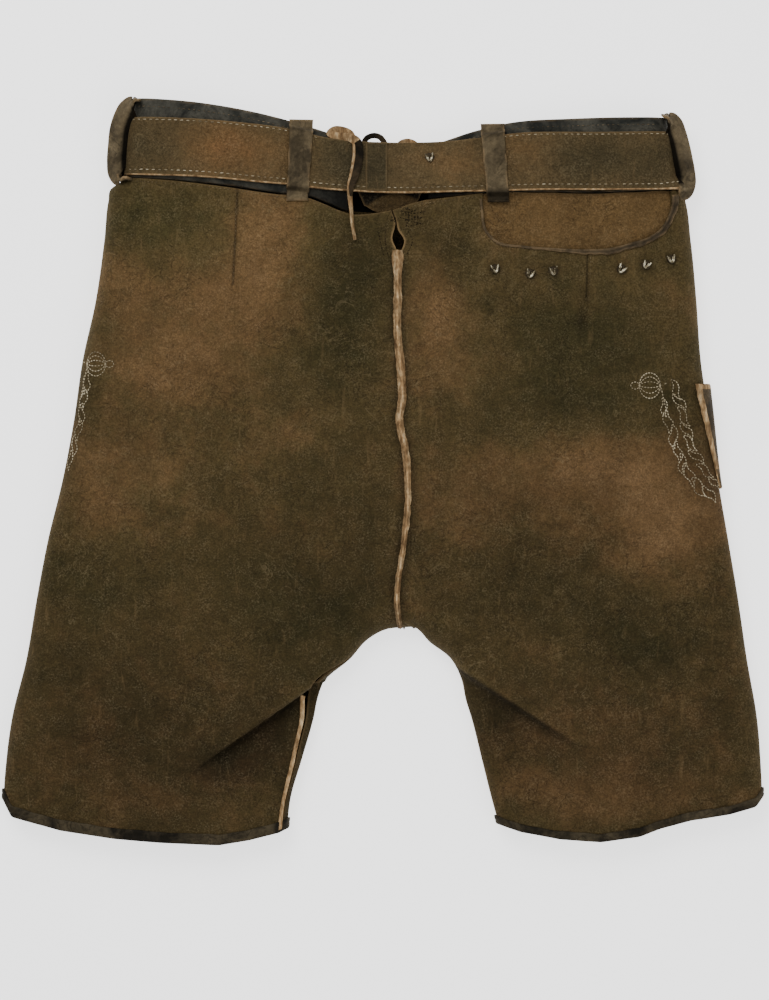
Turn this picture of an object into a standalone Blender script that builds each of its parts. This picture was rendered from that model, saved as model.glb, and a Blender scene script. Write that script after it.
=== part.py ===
"""Short leather breeches with their own belt, lying flat on their front with the back upwards.

+X runs from the wearer's left to the right, +Y from the hems to the waist and +Z up from the surface.
The upper and the lower face of the garment are two height functions over one plan outline. Every piece
is a wall between two offsets of these faces, so that pieces meet at their seams and lie on each other.
"""

import math

import bmesh
import bpy
import numpy as np

MM = 0.001

# Driving sizes, in metres.
LEATHER = 2.0 * MM  # wall of the panels and of the waistband
SEAM_GAP = 0.3 * MM  # between any two pieces
BELT_THICKNESS = 3.5 * MM
BELT_WIDTH = 40.0 * MM
BUCKLE_THICKNESS = 2.0 * MM
BUCKLE_SIZE = (46.0 * MM, 44.0 * MM)
BUCKLE_CORNER = 6.0 * MM
BINDING_THICKNESS = 1.2 * MM
HEM_BINDING_WIDTH = 6.0 * MM
EDGE_HALF_HEIGHT = 9.5 * MM  # from the lower face up to the middle of the rolled side
ROLL_WIDTH = 14.0 * MM  # how far in from the side the roll reaches
CROWN_WIDTH = 110.0 * MM  # how far in from an edge the puffed middle starts
SEAM_UNDER_SIDE = 4.0 * MM  # the side seam lies this far below the middle of the roll
BUCKLE_LIFT = BUCKLE_THICKNESS + SEAM_GAP
WAIST_LIFT = BELT_THICKNESS + SEAM_GAP
HEM_LIFT = BINDING_THICKNESS + SEAM_GAP
FRONT_CENTRE = 12.0 * MM  # where the two fronts meet, across
WAIST_ROLL_AWAY = 8.0 * MM  # how far the top edge sinks at the middle of the back
MIDDLE_HEIGHT = 11.0 * MM  # between the lower and the upper face, all over
NOTCH = (-24.0 * MM, 31.0 * MM)  # where the two halves of the waistband stop at the middle of the back
WAIST_SEAM_GAP = 0.6 * MM
BELT_EASE = 0.3 * MM  # the belt stands this much further off than a seam, all round
BELT_FORESHORTENED = 0.12  # share by which the belt's plan width shrinks where it rolls away
LOOP_WIDTH = 11.0 * MM
BACK_LOOP_WIDTHS = (16.5 * MM, 15.0 * MM)  # above the belt and below it
LOOP_THICKNESS = 2.0 * MM
LOOP_RAMP = 4.5 * MM  # length of a loop's slope beside the belt
SIDE_LOOP_TILT = math.radians(38)
SPLICE = (-12.0 * MM, 3.0 * MM)  # the lapped end of the belt, across
SPLICE_THICKNESS = 1.0 * MM
GUSSET_THICKNESS = 1.8 * MM
POCKET_THICKNESS = 1.6 * MM
POCKET_UNDER = 0.7 * MM  # gap between the right back and the pocket's inner piece
POCKET_MARGIN = 7.0 * MM  # how far that piece reaches under the edge of the opening
TRIM_THICKNESS = 1.2 * MM  # pocket binding, inseam welt and the sides of the centre welt
WELT_RIDGE = 2.2 * MM
WELT_HALF_WIDTHS = (3.3 * MM, 1.8 * MM)  # at the top and at the crotch
WELT_SPAN = (0.098, 0.985)  # where it starts and stops, as shares of the centre back seam
WELT_INSEAM_TOP = -150.0 * MM
WELT_INSEAM_HALF = 1.5 * MM
KNIFE_POCKET_TOP = 59.0 * MM
KNIFE_POCKET_LENGTH = 72.0 * MM
KNIFE_POCKET_THICKNESS = 1.8 * MM
KNIFE_POCKET_WIDTHS = (15.5 * MM, 4.0 * MM)  # from the side's middle over the top, at its mouth and its end
KNIFE_POCKET_UNDER = 4.5 * MM  # from the side's middle down
KNIFE_POCKET_GAPE = 2.4 * MM  # how far its mouth stands open
LACE_THICKNESS = 1.6 * MM
LACE_SECTIONS = 78
STUD_WIDTH = 6.0 * MM
STUD_WIRE = 0.9 * MM
CROTCH_Y = -109.0 * MM
CROTCH_EASE = 0.9 * MM  # the seams stand this much wider open at the crotch
CROTCH_EASE_REACH = 14.0 * MM
SIDE_AT_CROTCH = -84.0 * MM  # y of the side edge on the row that meets the crotch
TRUNK_SHARE = 0.62  # of a panel's length from the waist to the hem
SLIT_MIDDLE = 158.0 * MM  # y of the middle of the short slit in the centre back seam
SLIT_REACH = 9.0 * MM  # half of its length
SLIT_OPEN = (3.2 * MM, 4.4 * MM)  # how far its left and its right edge stand away from the seam

# Rows of a panel, as shares of the trunk and of the leg.
TRUNK_STEPS = np.concatenate([[0, 0.022, 0.053], np.linspace(0.085, 0.93, 10), (0.962, 0.98, 0.993)])
LEG_STEPS = np.concatenate([[0, 0.05, 0.11, 0.18], np.linspace(0.26, 0.94, 7), [1]])

# Columns near the ends of a row, in millimetres from the end.
BACK_NEAR_INSEAM = (0, 3, 6.5, 11, 16, 24)
BACK_NEAR_SIDE = (0, 4, 7.5, 11, 15, 20, 27)
FRONT_NEAR_SIDE = (0, 4, 8, 12, 17)
FRONT_NEAR_INSEAM = (0, 4.5, 9, 13, 17.5, 22, 26, 31, 38)
ROLL_COLUMNS = (0, 2.5, 5, 7.5, 10, 13, 17, 23)
LOW_ROLL_COLUMNS = (0, 3, 6, 9, 13, 18)
BELT_ROLL = (-19, -16, -13, -10, -7.5, -5, -2.5, 0, 2.5, 5, 7.5, 10, 13, 16, 20)


def table(columns, rows):
    """The columns of a table by name, in metres; its rows are in millimetres."""
    return dict(zip(columns.split(), np.array(rows, float).T * MM))


# Side edges of the garment from below the hems up to the waist.
SIDES = table("along left right", (
    (-275, -262, 262),
    (-214, -262, 262),
    (-172, -257, 259),
    (-131, -247, 252),
    (-90, -240, 246),
    (-48, -232, 239),
    (-7, -222, 232),
    (35, -214, 226),
    (76, -208, 220),
    (117, -199, 217),
    (159, -193, 213),
    (186, -190, 209),
    (195, -187.5, 206),
    (201.5, -177, 200.5),
    (207, -175.8, 199.3),
    (221, -175, 198),
    (259, -173, 196),
))

# Height of the upper face at its rolled sides and in its middle.
LEVELS = table("along side middle", (
    (-260, 18, 21),
    (-214, 19, 24),
    (-150, 20, 29),
    (-100, 20, 32),
    (-20, 21, 35),
    (60, 22, 34),
    (130, 23, 29),
    (190, 23, 24.5),
    (260, 23, 24),
))

# Folds of the back over each leg: from the crotch end to the end where it fades.
FOLDS = table("x0 y0 x1 y1 depth width reach", (
    (-36, -141, -135, -210, 7.5, 7, 75),
    (56, -139, 152, -200, 4.5, 16, 70),
))

# Centre back seam, from the notch down to the crotch.
CENTRE_BACK = table("x y", (
    (4, 172), (9, 167), (10, 148), (10, 117), (10, 93), (12, 72), (13, 48), (11, 34),
    (15, 15), (17, -10), (17, -22), (14, -52), (10, -79), (10, -98), (12, -109),
))
CENTRE_FRONT = table("x y", ((12, 178), (12, 90), (12, -10), (12, -109)))

# Inner edge of each leg, from the crotch down past the hem.
INNER_LEFT = table("x y", (
    (12, -109), (4, -110), (-10, -117), (-23, -131), (-39, -145), (-45, -159), (-48, -172),
    (-56, -200), (-64, -228), (-66, -246), (-67, -262),
))
INNER_RIGHT = table("x y", (
    (12, -109), (21, -109), (32, -119), (47, -131), (54, -145), (57, -159), (61, -172),
    (68, -200), (75, -228), (79, -243), (82, -260),
))
INNER_END = 9  # the row of these tables that lies on the hem

# Lower edge of each leg, from the inner leg out to the side.
HEM_LEFT = table("x y", (
    (-66, -245), (-72, -248), (-92, -253), (-113, -256.5), (-154, -255), (-185, -252.5), (-223, -247),
    (-256, -238), (-262, -226),
))
HEM_RIGHT = table("x y", (
    (79, -242), (95, -247.5), (122, -252.5), (150, -254.5), (177, -251), (191, -245.5), (212, -240),
    (239, -236), (257, -231), (262, -224),
))

# Waist lines, from the left side to the right: seam to the panels and top edge of the waistband.
BACK_SEAM = table("x y", (
    (-200, 202), (-175, 201.5), (-102, 195), (-69, 190), (-50, 188), (-37, 183), (-26, 178), (-17, 174),
    (-8, 172), (4, 172), (8, 174.5), (15, 179.5), (26, 184), (39, 187), (50, 188.5), (67, 190.5),
    (150, 191), (200, 193), (230, 193),
))
BACK_TOP = table("x y", (
    (-200, 257), (-174, 256.5), (-126, 253), (-66, 241), (-37, 232.5), (-12, 224), (29, 224),
    (64, 234), (84, 238.5), (132, 242), (187, 243), (230, 242),
))
BACK_BELT = table("x y", (
    (-200, 223), (-175, 223), (-126, 221.5), (-88, 218), (-66, 215.5), (-40, 211), (0, 208), (30, 208),
    (67, 210), (95, 212), (150, 212.5), (200, 213), (230, 213),
))
FRONT_SEAM = table("x y", (
    (-200, 202), (-175, 201.5), (-100, 188), (12, 178), (110, 182), (200, 193), (230, 193),
))
FRONT_TOP = table("x y", (
    (-200, 257), (-174, 256.5), (-100, 236), (12, 221), (110, 226), (198, 242), (230, 242),
))
FRONT_BELT = table("x y", (
    (-200, 223), (-175, 223), (-100, 208), (12, 199), (110, 203), (200, 213), (230, 213),
))

# Hip pocket: its curved opening from the middle of the back round to the side.
POCKET_OPENING = table("x y", (
    (68.3, 192), (69, 179), (72.5, 163.5), (79, 157.5), (95, 154.5), (112, 153), (139, 152), (157, 153),
    (170, 156.5), (183.5, 161), (191, 166.5), (196.5, 176), (198.7, 187), (198.3, 192),
))

# Lower edge of the piece under the notch of the waistband.
GUSSET_EDGE = table("x y", ((-12, 182), (-6, 178.5), (8, 180), (20, 183), (26, 186)))

# Loops over the belt on the back: where each starts above the belt and ends below it.
LOOPS_BACK = (
    # name, x and y at the top, x and y at the bottom
    ("loop_back_left", -56.5, 241.5, -59, 185),
    ("loop_back_right", 75.5, 238.5, 79.5, 184),
)

# Loose loops over the side folds; side is +1 on the left and -1 on the right.
SIDE_LOOPS = (
    # name, side, (x, y, height) along the loop
    ("loop_side_left", 1, (
        (-173, 255, 22.5), (-178, 250.5, 22), (-181.5, 244, 21), (-184, 236, 20), (-185.5, 224, 19),
        (-186, 212, 18.5), (-185.5, 205, 18.5), (-182, 200, 20),
    )),
    ("loop_side_right", -1, (
        (198, 243, 22.5), (202, 240, 22), (204.5, 233, 21), (207, 224, 20), (209.5, 214, 19),
        (211, 206, 18.5), (212, 198, 18.5), (211, 189.5, 19.5),
    )),
)

# Free strap of the lacing: its middle line, its width and how far its face is turned, in degrees.
LACE = (
    # x, y, rise over the upper face, width, turn
    (27, 205, -1, 4, 0), (26, 214, -1, 4, 0), (24.5, 222, -1, 4, 0), (21.5, 227, -0.8, 3.6, 0),
    (17, 229, -0.6, 3.6, 0), (12.5, 227, -0.8, 3.6, 0), (10, 221, -1, 3.6, 0), (6.5, 216, -1, 3.6, 0),
    (3, 221, -1, 3.6, 0), (1.5, 227, -0.8, 3.6, 0), (-2, 231, -0.4, 3.6, 0), (-6.5, 231.8, -0.4, 3.6, 0),
    (-11, 230, -0.5, 3.6, 0), (-14, 225, -0.9, 3.6, 0), (-16.5, 219.5, -1, 3.6, 0),
    (-19.5, 222.5, -1, 3.6, 0), (-20, 228.5, -0.2, 3.6, 0), (-22.5, 233, 1.5, 4, 0),
    (-28, 236, 1.9, 4.4, 0), (-34.5, 235.6, 2.2, 4.4, 0), (-37.5, 233, 2.8, 4, 0), (-34.5, 231.3, 3.6, 4, 0),
    (-28, 231, 4.8, 4.6, 0), (-22, 230.3, 6.4, 5.4, 0), (-18.2, 226, 6.4, 6.6, 0), (-17.2, 219, 5.3, 7.4, 0),
    (-18, 211, 5.2, 7.4, 0), (-20, 202, 5.3, 6.6, 0), (-22.2, 195, 5.8, 5.2, 5), (-22.7, 188, 4.9, 4.4, 40),
    (-22, 180, 3.6, 3.8, 55), (-21.2, 170, 3.0, 3.2, 60), (-19.3, 158, 2.7, 2.6, 60),
)

# Metal claws: one on the belt and six under the hip pocket.
STUDS = (
    # x, y, rise over the upper face
    (32, 215, 3.8), (77, 138, 0), (101, 134.5, 0), (117, 136.5, 0), (164, 138, 0), (181, 141, 0),
    (198.5, 145, 0),
)


def smooth(x, xs, ys):
    """The height at x of a rounded line through the points (xs, ys), level past its ends."""
    slopes = np.gradient(ys, xs)
    x = np.clip(x, xs[0], xs[-1])
    i = np.clip(np.searchsorted(xs, x) - 1, 0, len(xs) - 2)
    span = xs[i + 1] - xs[i]
    t = (x - xs[i]) / span
    start = ys[i] * (1 + 2 * t) + slopes[i] * span * t
    end = ys[i + 1] * (3 - 2 * t) - slopes[i + 1] * span * (1 - t)
    return start * (1 - t) ** 2 + end * t**2


def ease(t):
    """0 below 0, 1 above 1 and a soft step between."""
    t = np.clip(t, 0, 1)
    return t * t * (3 - 2 * t)


def roll(distance):
    """A quarter round: 0 at an edge, 1 past the roll's width."""
    return np.sqrt(1 - (1 - np.clip(distance / ROLL_WIDTH, 0, 1)) ** 2)


def chords(points):
    """The length along a line of points up to each of them."""
    return np.concatenate([[0], np.cumsum(np.linalg.norm(np.diff(points, axis=0), axis=1))])


def line_points(line, fractions):
    """Points of a rounded line through a table of x and y, at fractions of its length."""
    corners = np.stack([line["x"], line["y"]], axis=1)
    along = chords(corners)
    fine = np.linspace(0, along[-1], 40 * len(corners))
    dense = np.stack([smooth(fine, along, corners[:, k]) for k in (0, 1)], axis=1)
    length = chords(dense)
    wanted = np.array(fractions) * length[-1]
    return np.stack([np.interp(wanted, length, dense[:, k]) for k in (0, 1)], axis=1)


def line_height(line, x):
    """The y of a waist line at x."""
    return smooth(x, line["x"], line["y"])


def line_distance(x, y, line):
    """How far points lie from a line of points."""
    points = np.stack([x, y], axis=-1)[..., None, :]
    step = np.diff(line, axis=0)
    t = np.clip(((points - line[:-1]) * step).sum(-1) / (step**2).sum(-1), 0, 1)
    return np.linalg.norm(line[:-1] + t[..., None] * step - points, axis=-1).min(-1)


INNER_EDGE = np.concatenate([
    line_points(INNER_LEFT, np.linspace(1, 0, 40)),
    line_points(INNER_RIGHT, np.linspace(0.02, 1, 40)),
])


def side_left(y):
    return smooth(y, SIDES["along"], SIDES["left"])


def side_right(y):
    return smooth(y, SIDES["along"], SIDES["right"])


def lift(x, y):
    """How far the lower face stands over the surface: over the belt, its buckle and the hem bindings."""
    front_seam = line_height(FRONT_SEAM, x)
    waist = ease((y - front_seam + 34 * MM) / (28 * MM))
    buckle = BUCKLE_LIFT * ease((76 * MM - abs(x - FRONT_CENTRE)) / (46 * MM))
    hem = np.where(x < FRONT_CENTRE, hem_height(HEM_LEFT, x), hem_height(HEM_RIGHT, x))
    return waist * (WAIST_LIFT + buckle) + HEM_LIFT * ease((hem + 30 * MM - y) / (20 * MM))


def hem_height(line, x):
    """The y of a leg's lower edge at x."""
    order = np.argsort(line["x"])
    return np.interp(x, line["x"][order], line["y"][order])


def fold_drop(x, y):
    """How far the upper face sinks on the lower side of the crotch folds."""
    drop = 0
    for x0, y0, x1, y1, depth, width, reach in zip(*FOLDS.values()):
        length = math.hypot(x1 - x0, y1 - y0)
        across, down = (x1 - x0) / length, (y1 - y0) / length
        along = ((x - x0) * across + (y - y0) * down) / length
        beside = abs(x1 - x0) / (x1 - x0) * ((x - x0) * down - (y - y0) * across)
        fade = (1 - ease((along - 0.45) / 0.55)) * ease((along + 0.25) / 0.2)
        drop = drop + depth * fade * ease(beside / width) * (1 - ease((beside - width) / reach))
    return drop


def rolled_away(x):
    """1 at the middle of the back, where the waist sinks towards its top edge, and 0 away from it."""
    return ease((96 * MM - abs(x - 8 * MM)) / (70 * MM))


def belt_reach(x):
    """Half of the belt's width in plan on the back."""
    return BELT_WIDTH / 2 * (1 - BELT_FORESHORTENED * rolled_away(x))


def upper(x, y):
    """Height of the garment's upper face over a point of its plan."""
    in_from_side = np.minimum(x - side_left(y), side_right(y) - x)
    in_from_leg = line_distance(x, y, INNER_EDGE)
    crown = ease(in_from_side / CROWN_WIDTH) * ease((in_from_leg + 40 * MM) / CROWN_WIDTH)
    side = smooth(y, LEVELS["along"], LEVELS["side"])
    middle = smooth(y, LEVELS["along"], LEVELS["middle"])
    away = WAIST_ROLL_AWAY * rolled_away(x) * ease((y - 186 * MM) / (46 * MM)) ** 1.3
    height = side + (middle - side) * crown - away - fold_drop(x, y)
    edge = lift(x, y) + EDGE_HALF_HEIGHT
    return edge + (height - edge) * roll(in_from_side) * roll(in_from_leg)


def lower(x, y):
    """Height of the garment's lower face over a point of its plan."""
    in_from_side = np.minimum(x - side_left(y), side_right(y) - x)
    in_from_leg = line_distance(x, y, INNER_EDGE)
    return lift(x, y) + EDGE_HALF_HEIGHT * (1 - roll(in_from_side) * roll(in_from_leg))


def on(face, plan):
    """The points of a face over plan points."""
    return np.concatenate([plan, face(plan[:, 0], plan[:, 1])[:, None]], axis=1)


def resampled(path, places):
    """Points of a path, and its directions there, at lengths along it."""
    length = chords(path)
    keep = np.concatenate([[True], np.diff(length) > 1e-7])
    path, length = path[keep], length[keep]
    direction = np.gradient(path, length, axis=0)
    return tuple(
        np.stack([np.interp(places, length, values[:, k]) for k in range(3)], axis=1)
        for values in (path, direction)
    )


def places(start, end, near_start, near_end, middle):
    """Lengths along a path: given ones near both ends, and evenly spaced ones between."""
    first = start + np.array(near_start) * MM
    last = end - np.array(near_end[::-1]) * MM
    between = np.linspace(first[-1], last[0], middle + 2)[1:-1]
    return np.concatenate([first, between, last])


def outward(points, directions):
    """The outward directions of a grid of points: up on the upper face and down on the lower one."""
    normals = np.cross(directions, np.gradient(points, axis=0))
    normals /= np.linalg.norm(normals, axis=2, keepdims=True)
    turned = ((points[..., 2] - MIDDLE_HEIGHT) * normals[..., 2]).sum() < 0
    return -normals if turned else normals


def wall(name, points, directions, low, high):
    """A closed wall between two offsets of a grid of points, rows by columns.

    directions are the grid's own along its rows; low and high may differ from point to point.
    """
    normals = outward(points, directions)
    rows, columns = points.shape[:2]
    index = np.arange(rows * columns).reshape(rows, columns)
    under = rows * columns
    skins = np.concatenate([
        (points + normals * np.broadcast_to(offset, (rows, columns))[..., None]).reshape(-1, 3)
        for offset in (high, low)
    ])
    faces = []
    for i in range(rows - 1):
        for j in range(columns - 1):
            quad = [index[i, j], index[i, j + 1], index[i + 1, j + 1], index[i + 1, j]]
            faces.append(quad)
            faces.append([k + under for k in quad[::-1]])
    rim = list(index[0, :]) + list(index[1:, -1]) + list(index[-1, -2::-1]) + list(index[-2:0:-1, 0])
    for a, b in zip(rim, rim[1:] + rim[:1]):
        faces.append([a, a + under, b + under, b])
    return solid(name, skins, faces)


def solid(name, points, faces):
    """A named object from points and faces, turned outwards and shaded smooth."""
    mesh = bpy.data.meshes.new(name)
    mesh.from_pydata([tuple(map(float, p)) for p in points], [], [tuple(map(int, f)) for f in faces])
    work = bmesh.new()
    work.from_mesh(mesh)
    bmesh.ops.recalc_face_normals(work, faces=work.faces)
    work.to_mesh(mesh)
    work.free()
    mesh.shade_smooth()
    mesh.set_sharp_from_angle(angle=math.radians(40))
    made = bpy.data.objects.new(name, mesh)
    bpy.context.scene.collection.objects.link(made)
    return made


def swept(name, sections, closed=False):
    """A closed solid through sections of equal point counts, each given as points in space."""
    count = len(sections[0])
    points = np.concatenate(sections)
    faces = []
    steps = len(sections) if closed else len(sections) - 1
    for i in range(steps):
        here, there = i * count, (i + 1) % len(sections) * count
        for k in range(count):
            n = (k + 1) % count
            faces.append([here + k, here + n, there + n, there + k])
    if not closed:
        faces.append(list(range(count))[::-1])
        faces.append([len(points) - count + k for k in range(count)])
    return solid(name, points, faces)


def patch(name, plan, low, high):
    """A piece that lies on or under the upper face: plan is a grid of x and y, rows by columns."""
    x, y = plan[..., 0], plan[..., 1]
    points = np.stack([x, y, upper(x, y)], axis=-1)
    return wall(name, points, np.gradient(points, axis=1), low, high)


def ribbon(name, line, width, low, high):
    """A strip of the upper face along a plan line; width holds its extent to each side at each point."""
    ahead = np.gradient(line, axis=0)
    ahead /= np.linalg.norm(ahead, axis=1, keepdims=True)
    beside = np.stack([-ahead[:, 1], ahead[:, 0]], axis=1)
    sides = np.stack([line + beside * side[:, None] for side in np.broadcast_to(width, (len(line), 3)).T])
    return patch(name, sides, low, high)


# ---------------------------------------------------------------------------------------------------
# Panels
# ---------------------------------------------------------------------------------------------------


def rounded_steps(count):
    """Shares from 0 to 1 that lie closer together at both ends."""
    return (1 - np.cos(np.linspace(0, math.pi, count))) / 2


def half_rows(left, front):
    """Plan rows of a half, from the waist seam to the hem; each runs from the inner edge to the side."""
    inner_leg, hem = (INNER_LEFT, HEM_LEFT) if left else (INNER_RIGHT, HEM_RIGHT)
    centre, seam = (CENTRE_FRONT, FRONT_SEAM) if front else (CENTRE_BACK, BACK_SEAM)
    outer_x = side_left if left else side_right
    leg_length = chords(np.stack([inner_leg["x"], inner_leg["y"]], axis=1))
    hem_end = leg_length[INNER_END] / leg_length[-1]
    inner = np.concatenate([line_points(centre, TRUNK_STEPS), line_points(inner_leg, LEG_STEPS * hem_end)])
    inner[:, 0] += (-1 if left else 1) * SEAM_GAP / 2
    side_top = line_height(seam, outer_x(194 * MM))
    side_y = np.concatenate([
        side_top + (SIDE_AT_CROTCH - side_top) * TRUNK_STEPS,
        SIDE_AT_CROTCH + (hem["y"][-1] - SIDE_AT_CROTCH) * LEG_STEPS,
    ])
    down = np.concatenate([TRUNK_STEPS * TRUNK_SHARE, TRUNK_SHARE + LEG_STEPS * (1 - TRUNK_SHARE)])
    u = rounded_steps(61)
    rows = []
    for start, y, v in zip(inner, side_y, down):
        end = np.array([outer_x(y), y])
        row = start + (end - start) * u[:, None]
        at_waist = line_height(seam, row[:, 0]) - (inner[0, 1] + (side_top - inner[0, 1]) * u)
        hem_y = hem_height(hem, row[:, 0])
        at_hem = hem_y - (hem_y[0] + (hem_y[-1] - hem_y[0]) * u)
        row[:, 1] += ease(1 - v / 0.4) * at_waist + ease((v - 0.75) / 0.25) * at_hem
        row[:, 0] = start[0] + (outer_x(row[:, 1]) - start[0]) * u
        rows.append(row)
    return rows


def inseam_shift(left, y):
    """How far over the upper face the front panel of a leg is wrapped, along the inner edge."""
    if not left:
        return 0.0
    starts = ease((-118 * MM - y) / (34 * MM))
    narrows = 1 - 0.35 * ease((-170 * MM - y) / (60 * MM))
    return 13 * MM * starts * narrows


def slit_shift(left, y):
    """How far the inner edge of a back stands away from the centre seam, at the slit."""
    return SLIT_OPEN[0 if left else 1] * ease(1 - abs(y - SLIT_MIDDLE) / SLIT_REACH)


def garment_path(row):
    """The upper face over a plan row from its inner end to the side, then the lower face back again."""
    return np.concatenate([on(upper, row), on(lower, row[::-1])[1:]])


def panel_grid(left, front):
    """Points and directions of a panel's outer face: a back on the upper face, a front on the lower one."""
    points, directions = [], []
    for row in half_rows(left, front):
        path = garment_path(row)
        length = chords(path)
        side_seam = length[len(row) - 1] + SEAM_UNDER_SIDE
        shift = inseam_shift(left, row[0, 1])
        from_crotch = math.dist(row[0], (FRONT_CENTRE, CROTCH_Y))
        gap = SEAM_GAP / 2 + CROTCH_EASE * ease(2 - from_crotch / CROTCH_EASE_REACH)
        if front:
            path = np.concatenate([path, on(upper, row)[1:]])
            start, end = side_seam + SEAM_GAP / 2, length[-1] + shift - gap
            at = places(start, end, FRONT_NEAR_SIDE, FRONT_NEAR_INSEAM, 4)
        else:
            start, end = shift + gap + slit_shift(left, row[0, 1]), side_seam - SEAM_GAP / 2
            at = places(start, end, BACK_NEAR_INSEAM, BACK_NEAR_SIDE, 5)
        here, ahead = resampled(path, at)
        points.append(here)
        directions.append(ahead)
    return np.array(points), np.array(directions)


def panel(name, left, front):
    """One of the four panels."""
    return wall(name, *panel_grid(left, front), -LEATHER, 0)


def back_right_with_pocket():
    """The right back, cut away where the hip pocket opens."""
    back = panel("back_right", left=False, front=False)
    opening = line_points(POCKET_OPENING, np.linspace(0, 1, 28))
    low, high = EDGE_HALF_HEIGHT + 2 * MM, 60 * MM
    above = [(opening[-1, 0], 205 * MM), (opening[0, 0], 205 * MM)]
    outline = np.concatenate([opening, above])
    rings = [np.column_stack([outline, np.full(len(outline), z)]) for z in (low, high)]
    cutter = swept("pocket_cutter", rings)
    cutter.hide_render = True
    cutter.display_type = "WIRE"
    cut = back.modifiers.new("pocket opening", "BOOLEAN")
    cut.operation = "DIFFERENCE"
    cut.object = cutter
    return back


def pocket_panel():
    """The piece of the hip pocket that shows inside its opening, under the right back."""
    opening = line_points(POCKET_OPENING, np.linspace(0, 1, 15))
    edge_x = opening[:, 0] + np.sign(opening[:, 0] - opening[:, 0].mean()) * 2 * MM
    edge_y = opening[:, 1] - POCKET_MARGIN
    x = np.linspace(edge_x[0], edge_x[-1], 16)
    order = np.argsort(edge_x, kind="stable")
    top = line_height(BACK_SEAM, x) - SEAM_GAP / 2
    bottom = np.minimum(np.interp(x, edge_x[order], edge_y[order]), top - 6 * MM)
    rows = [np.stack([x, top + (bottom - top) * t], axis=1) for t in np.linspace(0, 1, 6)]
    under = -LEATHER - POCKET_UNDER
    return patch("pocket_panel", np.array(rows), under - POCKET_THICKNESS, under)


def pocket_binding():
    """Dark edge binding around the pocket opening, wider on its side end."""
    fractions = np.linspace(0.03, 0.985, 34)
    line = line_points(POCKET_OPENING, fractions)
    breadth = (1.2 + 2.6 * ease((fractions - 0.35) / 0.3)) * MM
    width = np.stack([-SEAM_GAP - breadth * share for share in (0, 0.5, 1)], axis=1)
    return ribbon("pocket_binding", line, width, SEAM_GAP, SEAM_GAP + TRIM_THICKNESS)


# ---------------------------------------------------------------------------------------------------
# Waist
# ---------------------------------------------------------------------------------------------------


WAIST_SIDES = (side_left(220 * MM), side_right(220 * MM))


def band_height(seam, top, share, x):
    """The y at x of a line between the seam of a waistband and its top edge, clear of the seam."""
    height = line_height(seam, x) * (1 - share) + line_height(top, x) * share
    return height + (WAIST_SEAM_GAP if share == 0 else 0)


def waistband_back(name, left):
    """Half of the back waistband, from the notch round the side to the side seam."""
    inner_x = NOTCH[0] if left else NOTCH[1]
    outer_x = side_left if left else side_right
    points, directions = [], []
    for share in np.linspace(0, 1, 5):
        end_y = band_height(BACK_SEAM, BACK_TOP, share, WAIST_SIDES[0 if left else 1])
        x = inner_x + (outer_x(end_y) - inner_x) * rounded_steps(61)
        row = np.stack([x, band_height(BACK_SEAM, BACK_TOP, share, x)], axis=1)
        path = garment_path(row)
        end = chords(path)[len(row) - 1] + SEAM_UNDER_SIDE - SEAM_GAP / 2
        here, ahead = resampled(path, places(0, end, (0, 6), ROLL_COLUMNS, 11))
        points.append(here)
        directions.append(ahead)
    return wall(name, np.array(points), np.array(directions), -LEATHER, 0)


def waistband_front():
    """The waistband across the front, between the two side seams."""
    points, directions = [], []
    margin = SEAM_UNDER_SIDE + SEAM_GAP / 2
    for share in np.linspace(0, 1, 5):
        ends = [band_height(FRONT_SEAM, FRONT_TOP, share, x) for x in WAIST_SIDES]
        first, last = side_left(ends[0]), side_right(ends[1])
        x = first + (last - first) * rounded_steps(91)
        path = on(lower, np.stack([x, band_height(FRONT_SEAM, FRONT_TOP, share, x)], axis=1))
        end = chords(path)[-1] - margin
        here, ahead = resampled(path, places(margin, end, LOW_ROLL_COLUMNS, LOW_ROLL_COLUMNS, 19))
        points.append(here)
        directions.append(ahead)
    return wall("waistband_front", np.array(points), np.array(directions), -LEATHER, 0)


def belt_height(share, x):
    """The y at x of a line along the belt's back, at a share of its half width from its middle."""
    return line_height(BACK_BELT, x) + share * belt_reach(x)


def belt_grid(shares):
    """Points of the face that the belt lies on, one row for each share of its half width."""
    points, directions = [], []
    for share in shares:
        front_rise = share * BELT_WIDTH / 2
        ends = [belt_height(share, x) for x in WAIST_SIDES]
        first, last = side_left(ends[0]), side_right(ends[1])
        x = first + (last - first) * rounded_steps(161)
        back = on(upper, np.stack([x, belt_height(share, x)], axis=1))
        front = on(lower, np.stack([x, line_height(FRONT_BELT, x) + front_rise], axis=1))
        cut = int(np.searchsorted(x, FRONT_CENTRE))
        meeting = on(lower, np.array([[FRONT_CENTRE, line_height(FRONT_BELT, FRONT_CENTRE) + front_rise]]))
        path = np.concatenate([meeting, front[:cut][::-1], back[1:], front[cut:-1][::-1], meeting])
        length = chords(path)
        left_side, right_side = length[cut - 1], length[cut + len(back) - 2]
        here, ahead = resampled(path, np.concatenate([
            np.linspace(SEAM_GAP, left_side - 24 * MM, 12),
            left_side + np.array(BELT_ROLL) * MM,
            np.linspace(left_side + 26 * MM, right_side - 26 * MM, 26),
            right_side + np.array(BELT_ROLL) * MM,
            np.linspace(right_side + 24 * MM, length[-1] - SEAM_GAP, 12),
        ]))
        points.append(here)
        directions.append(ahead)
    return np.array(points), np.array(directions)


def belt():
    points, directions = belt_grid(np.linspace(-1, 1, 4))
    base = SEAM_GAP + BELT_EASE
    return wall("belt", points, directions, base, SEAM_GAP + BELT_THICKNESS)


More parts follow.
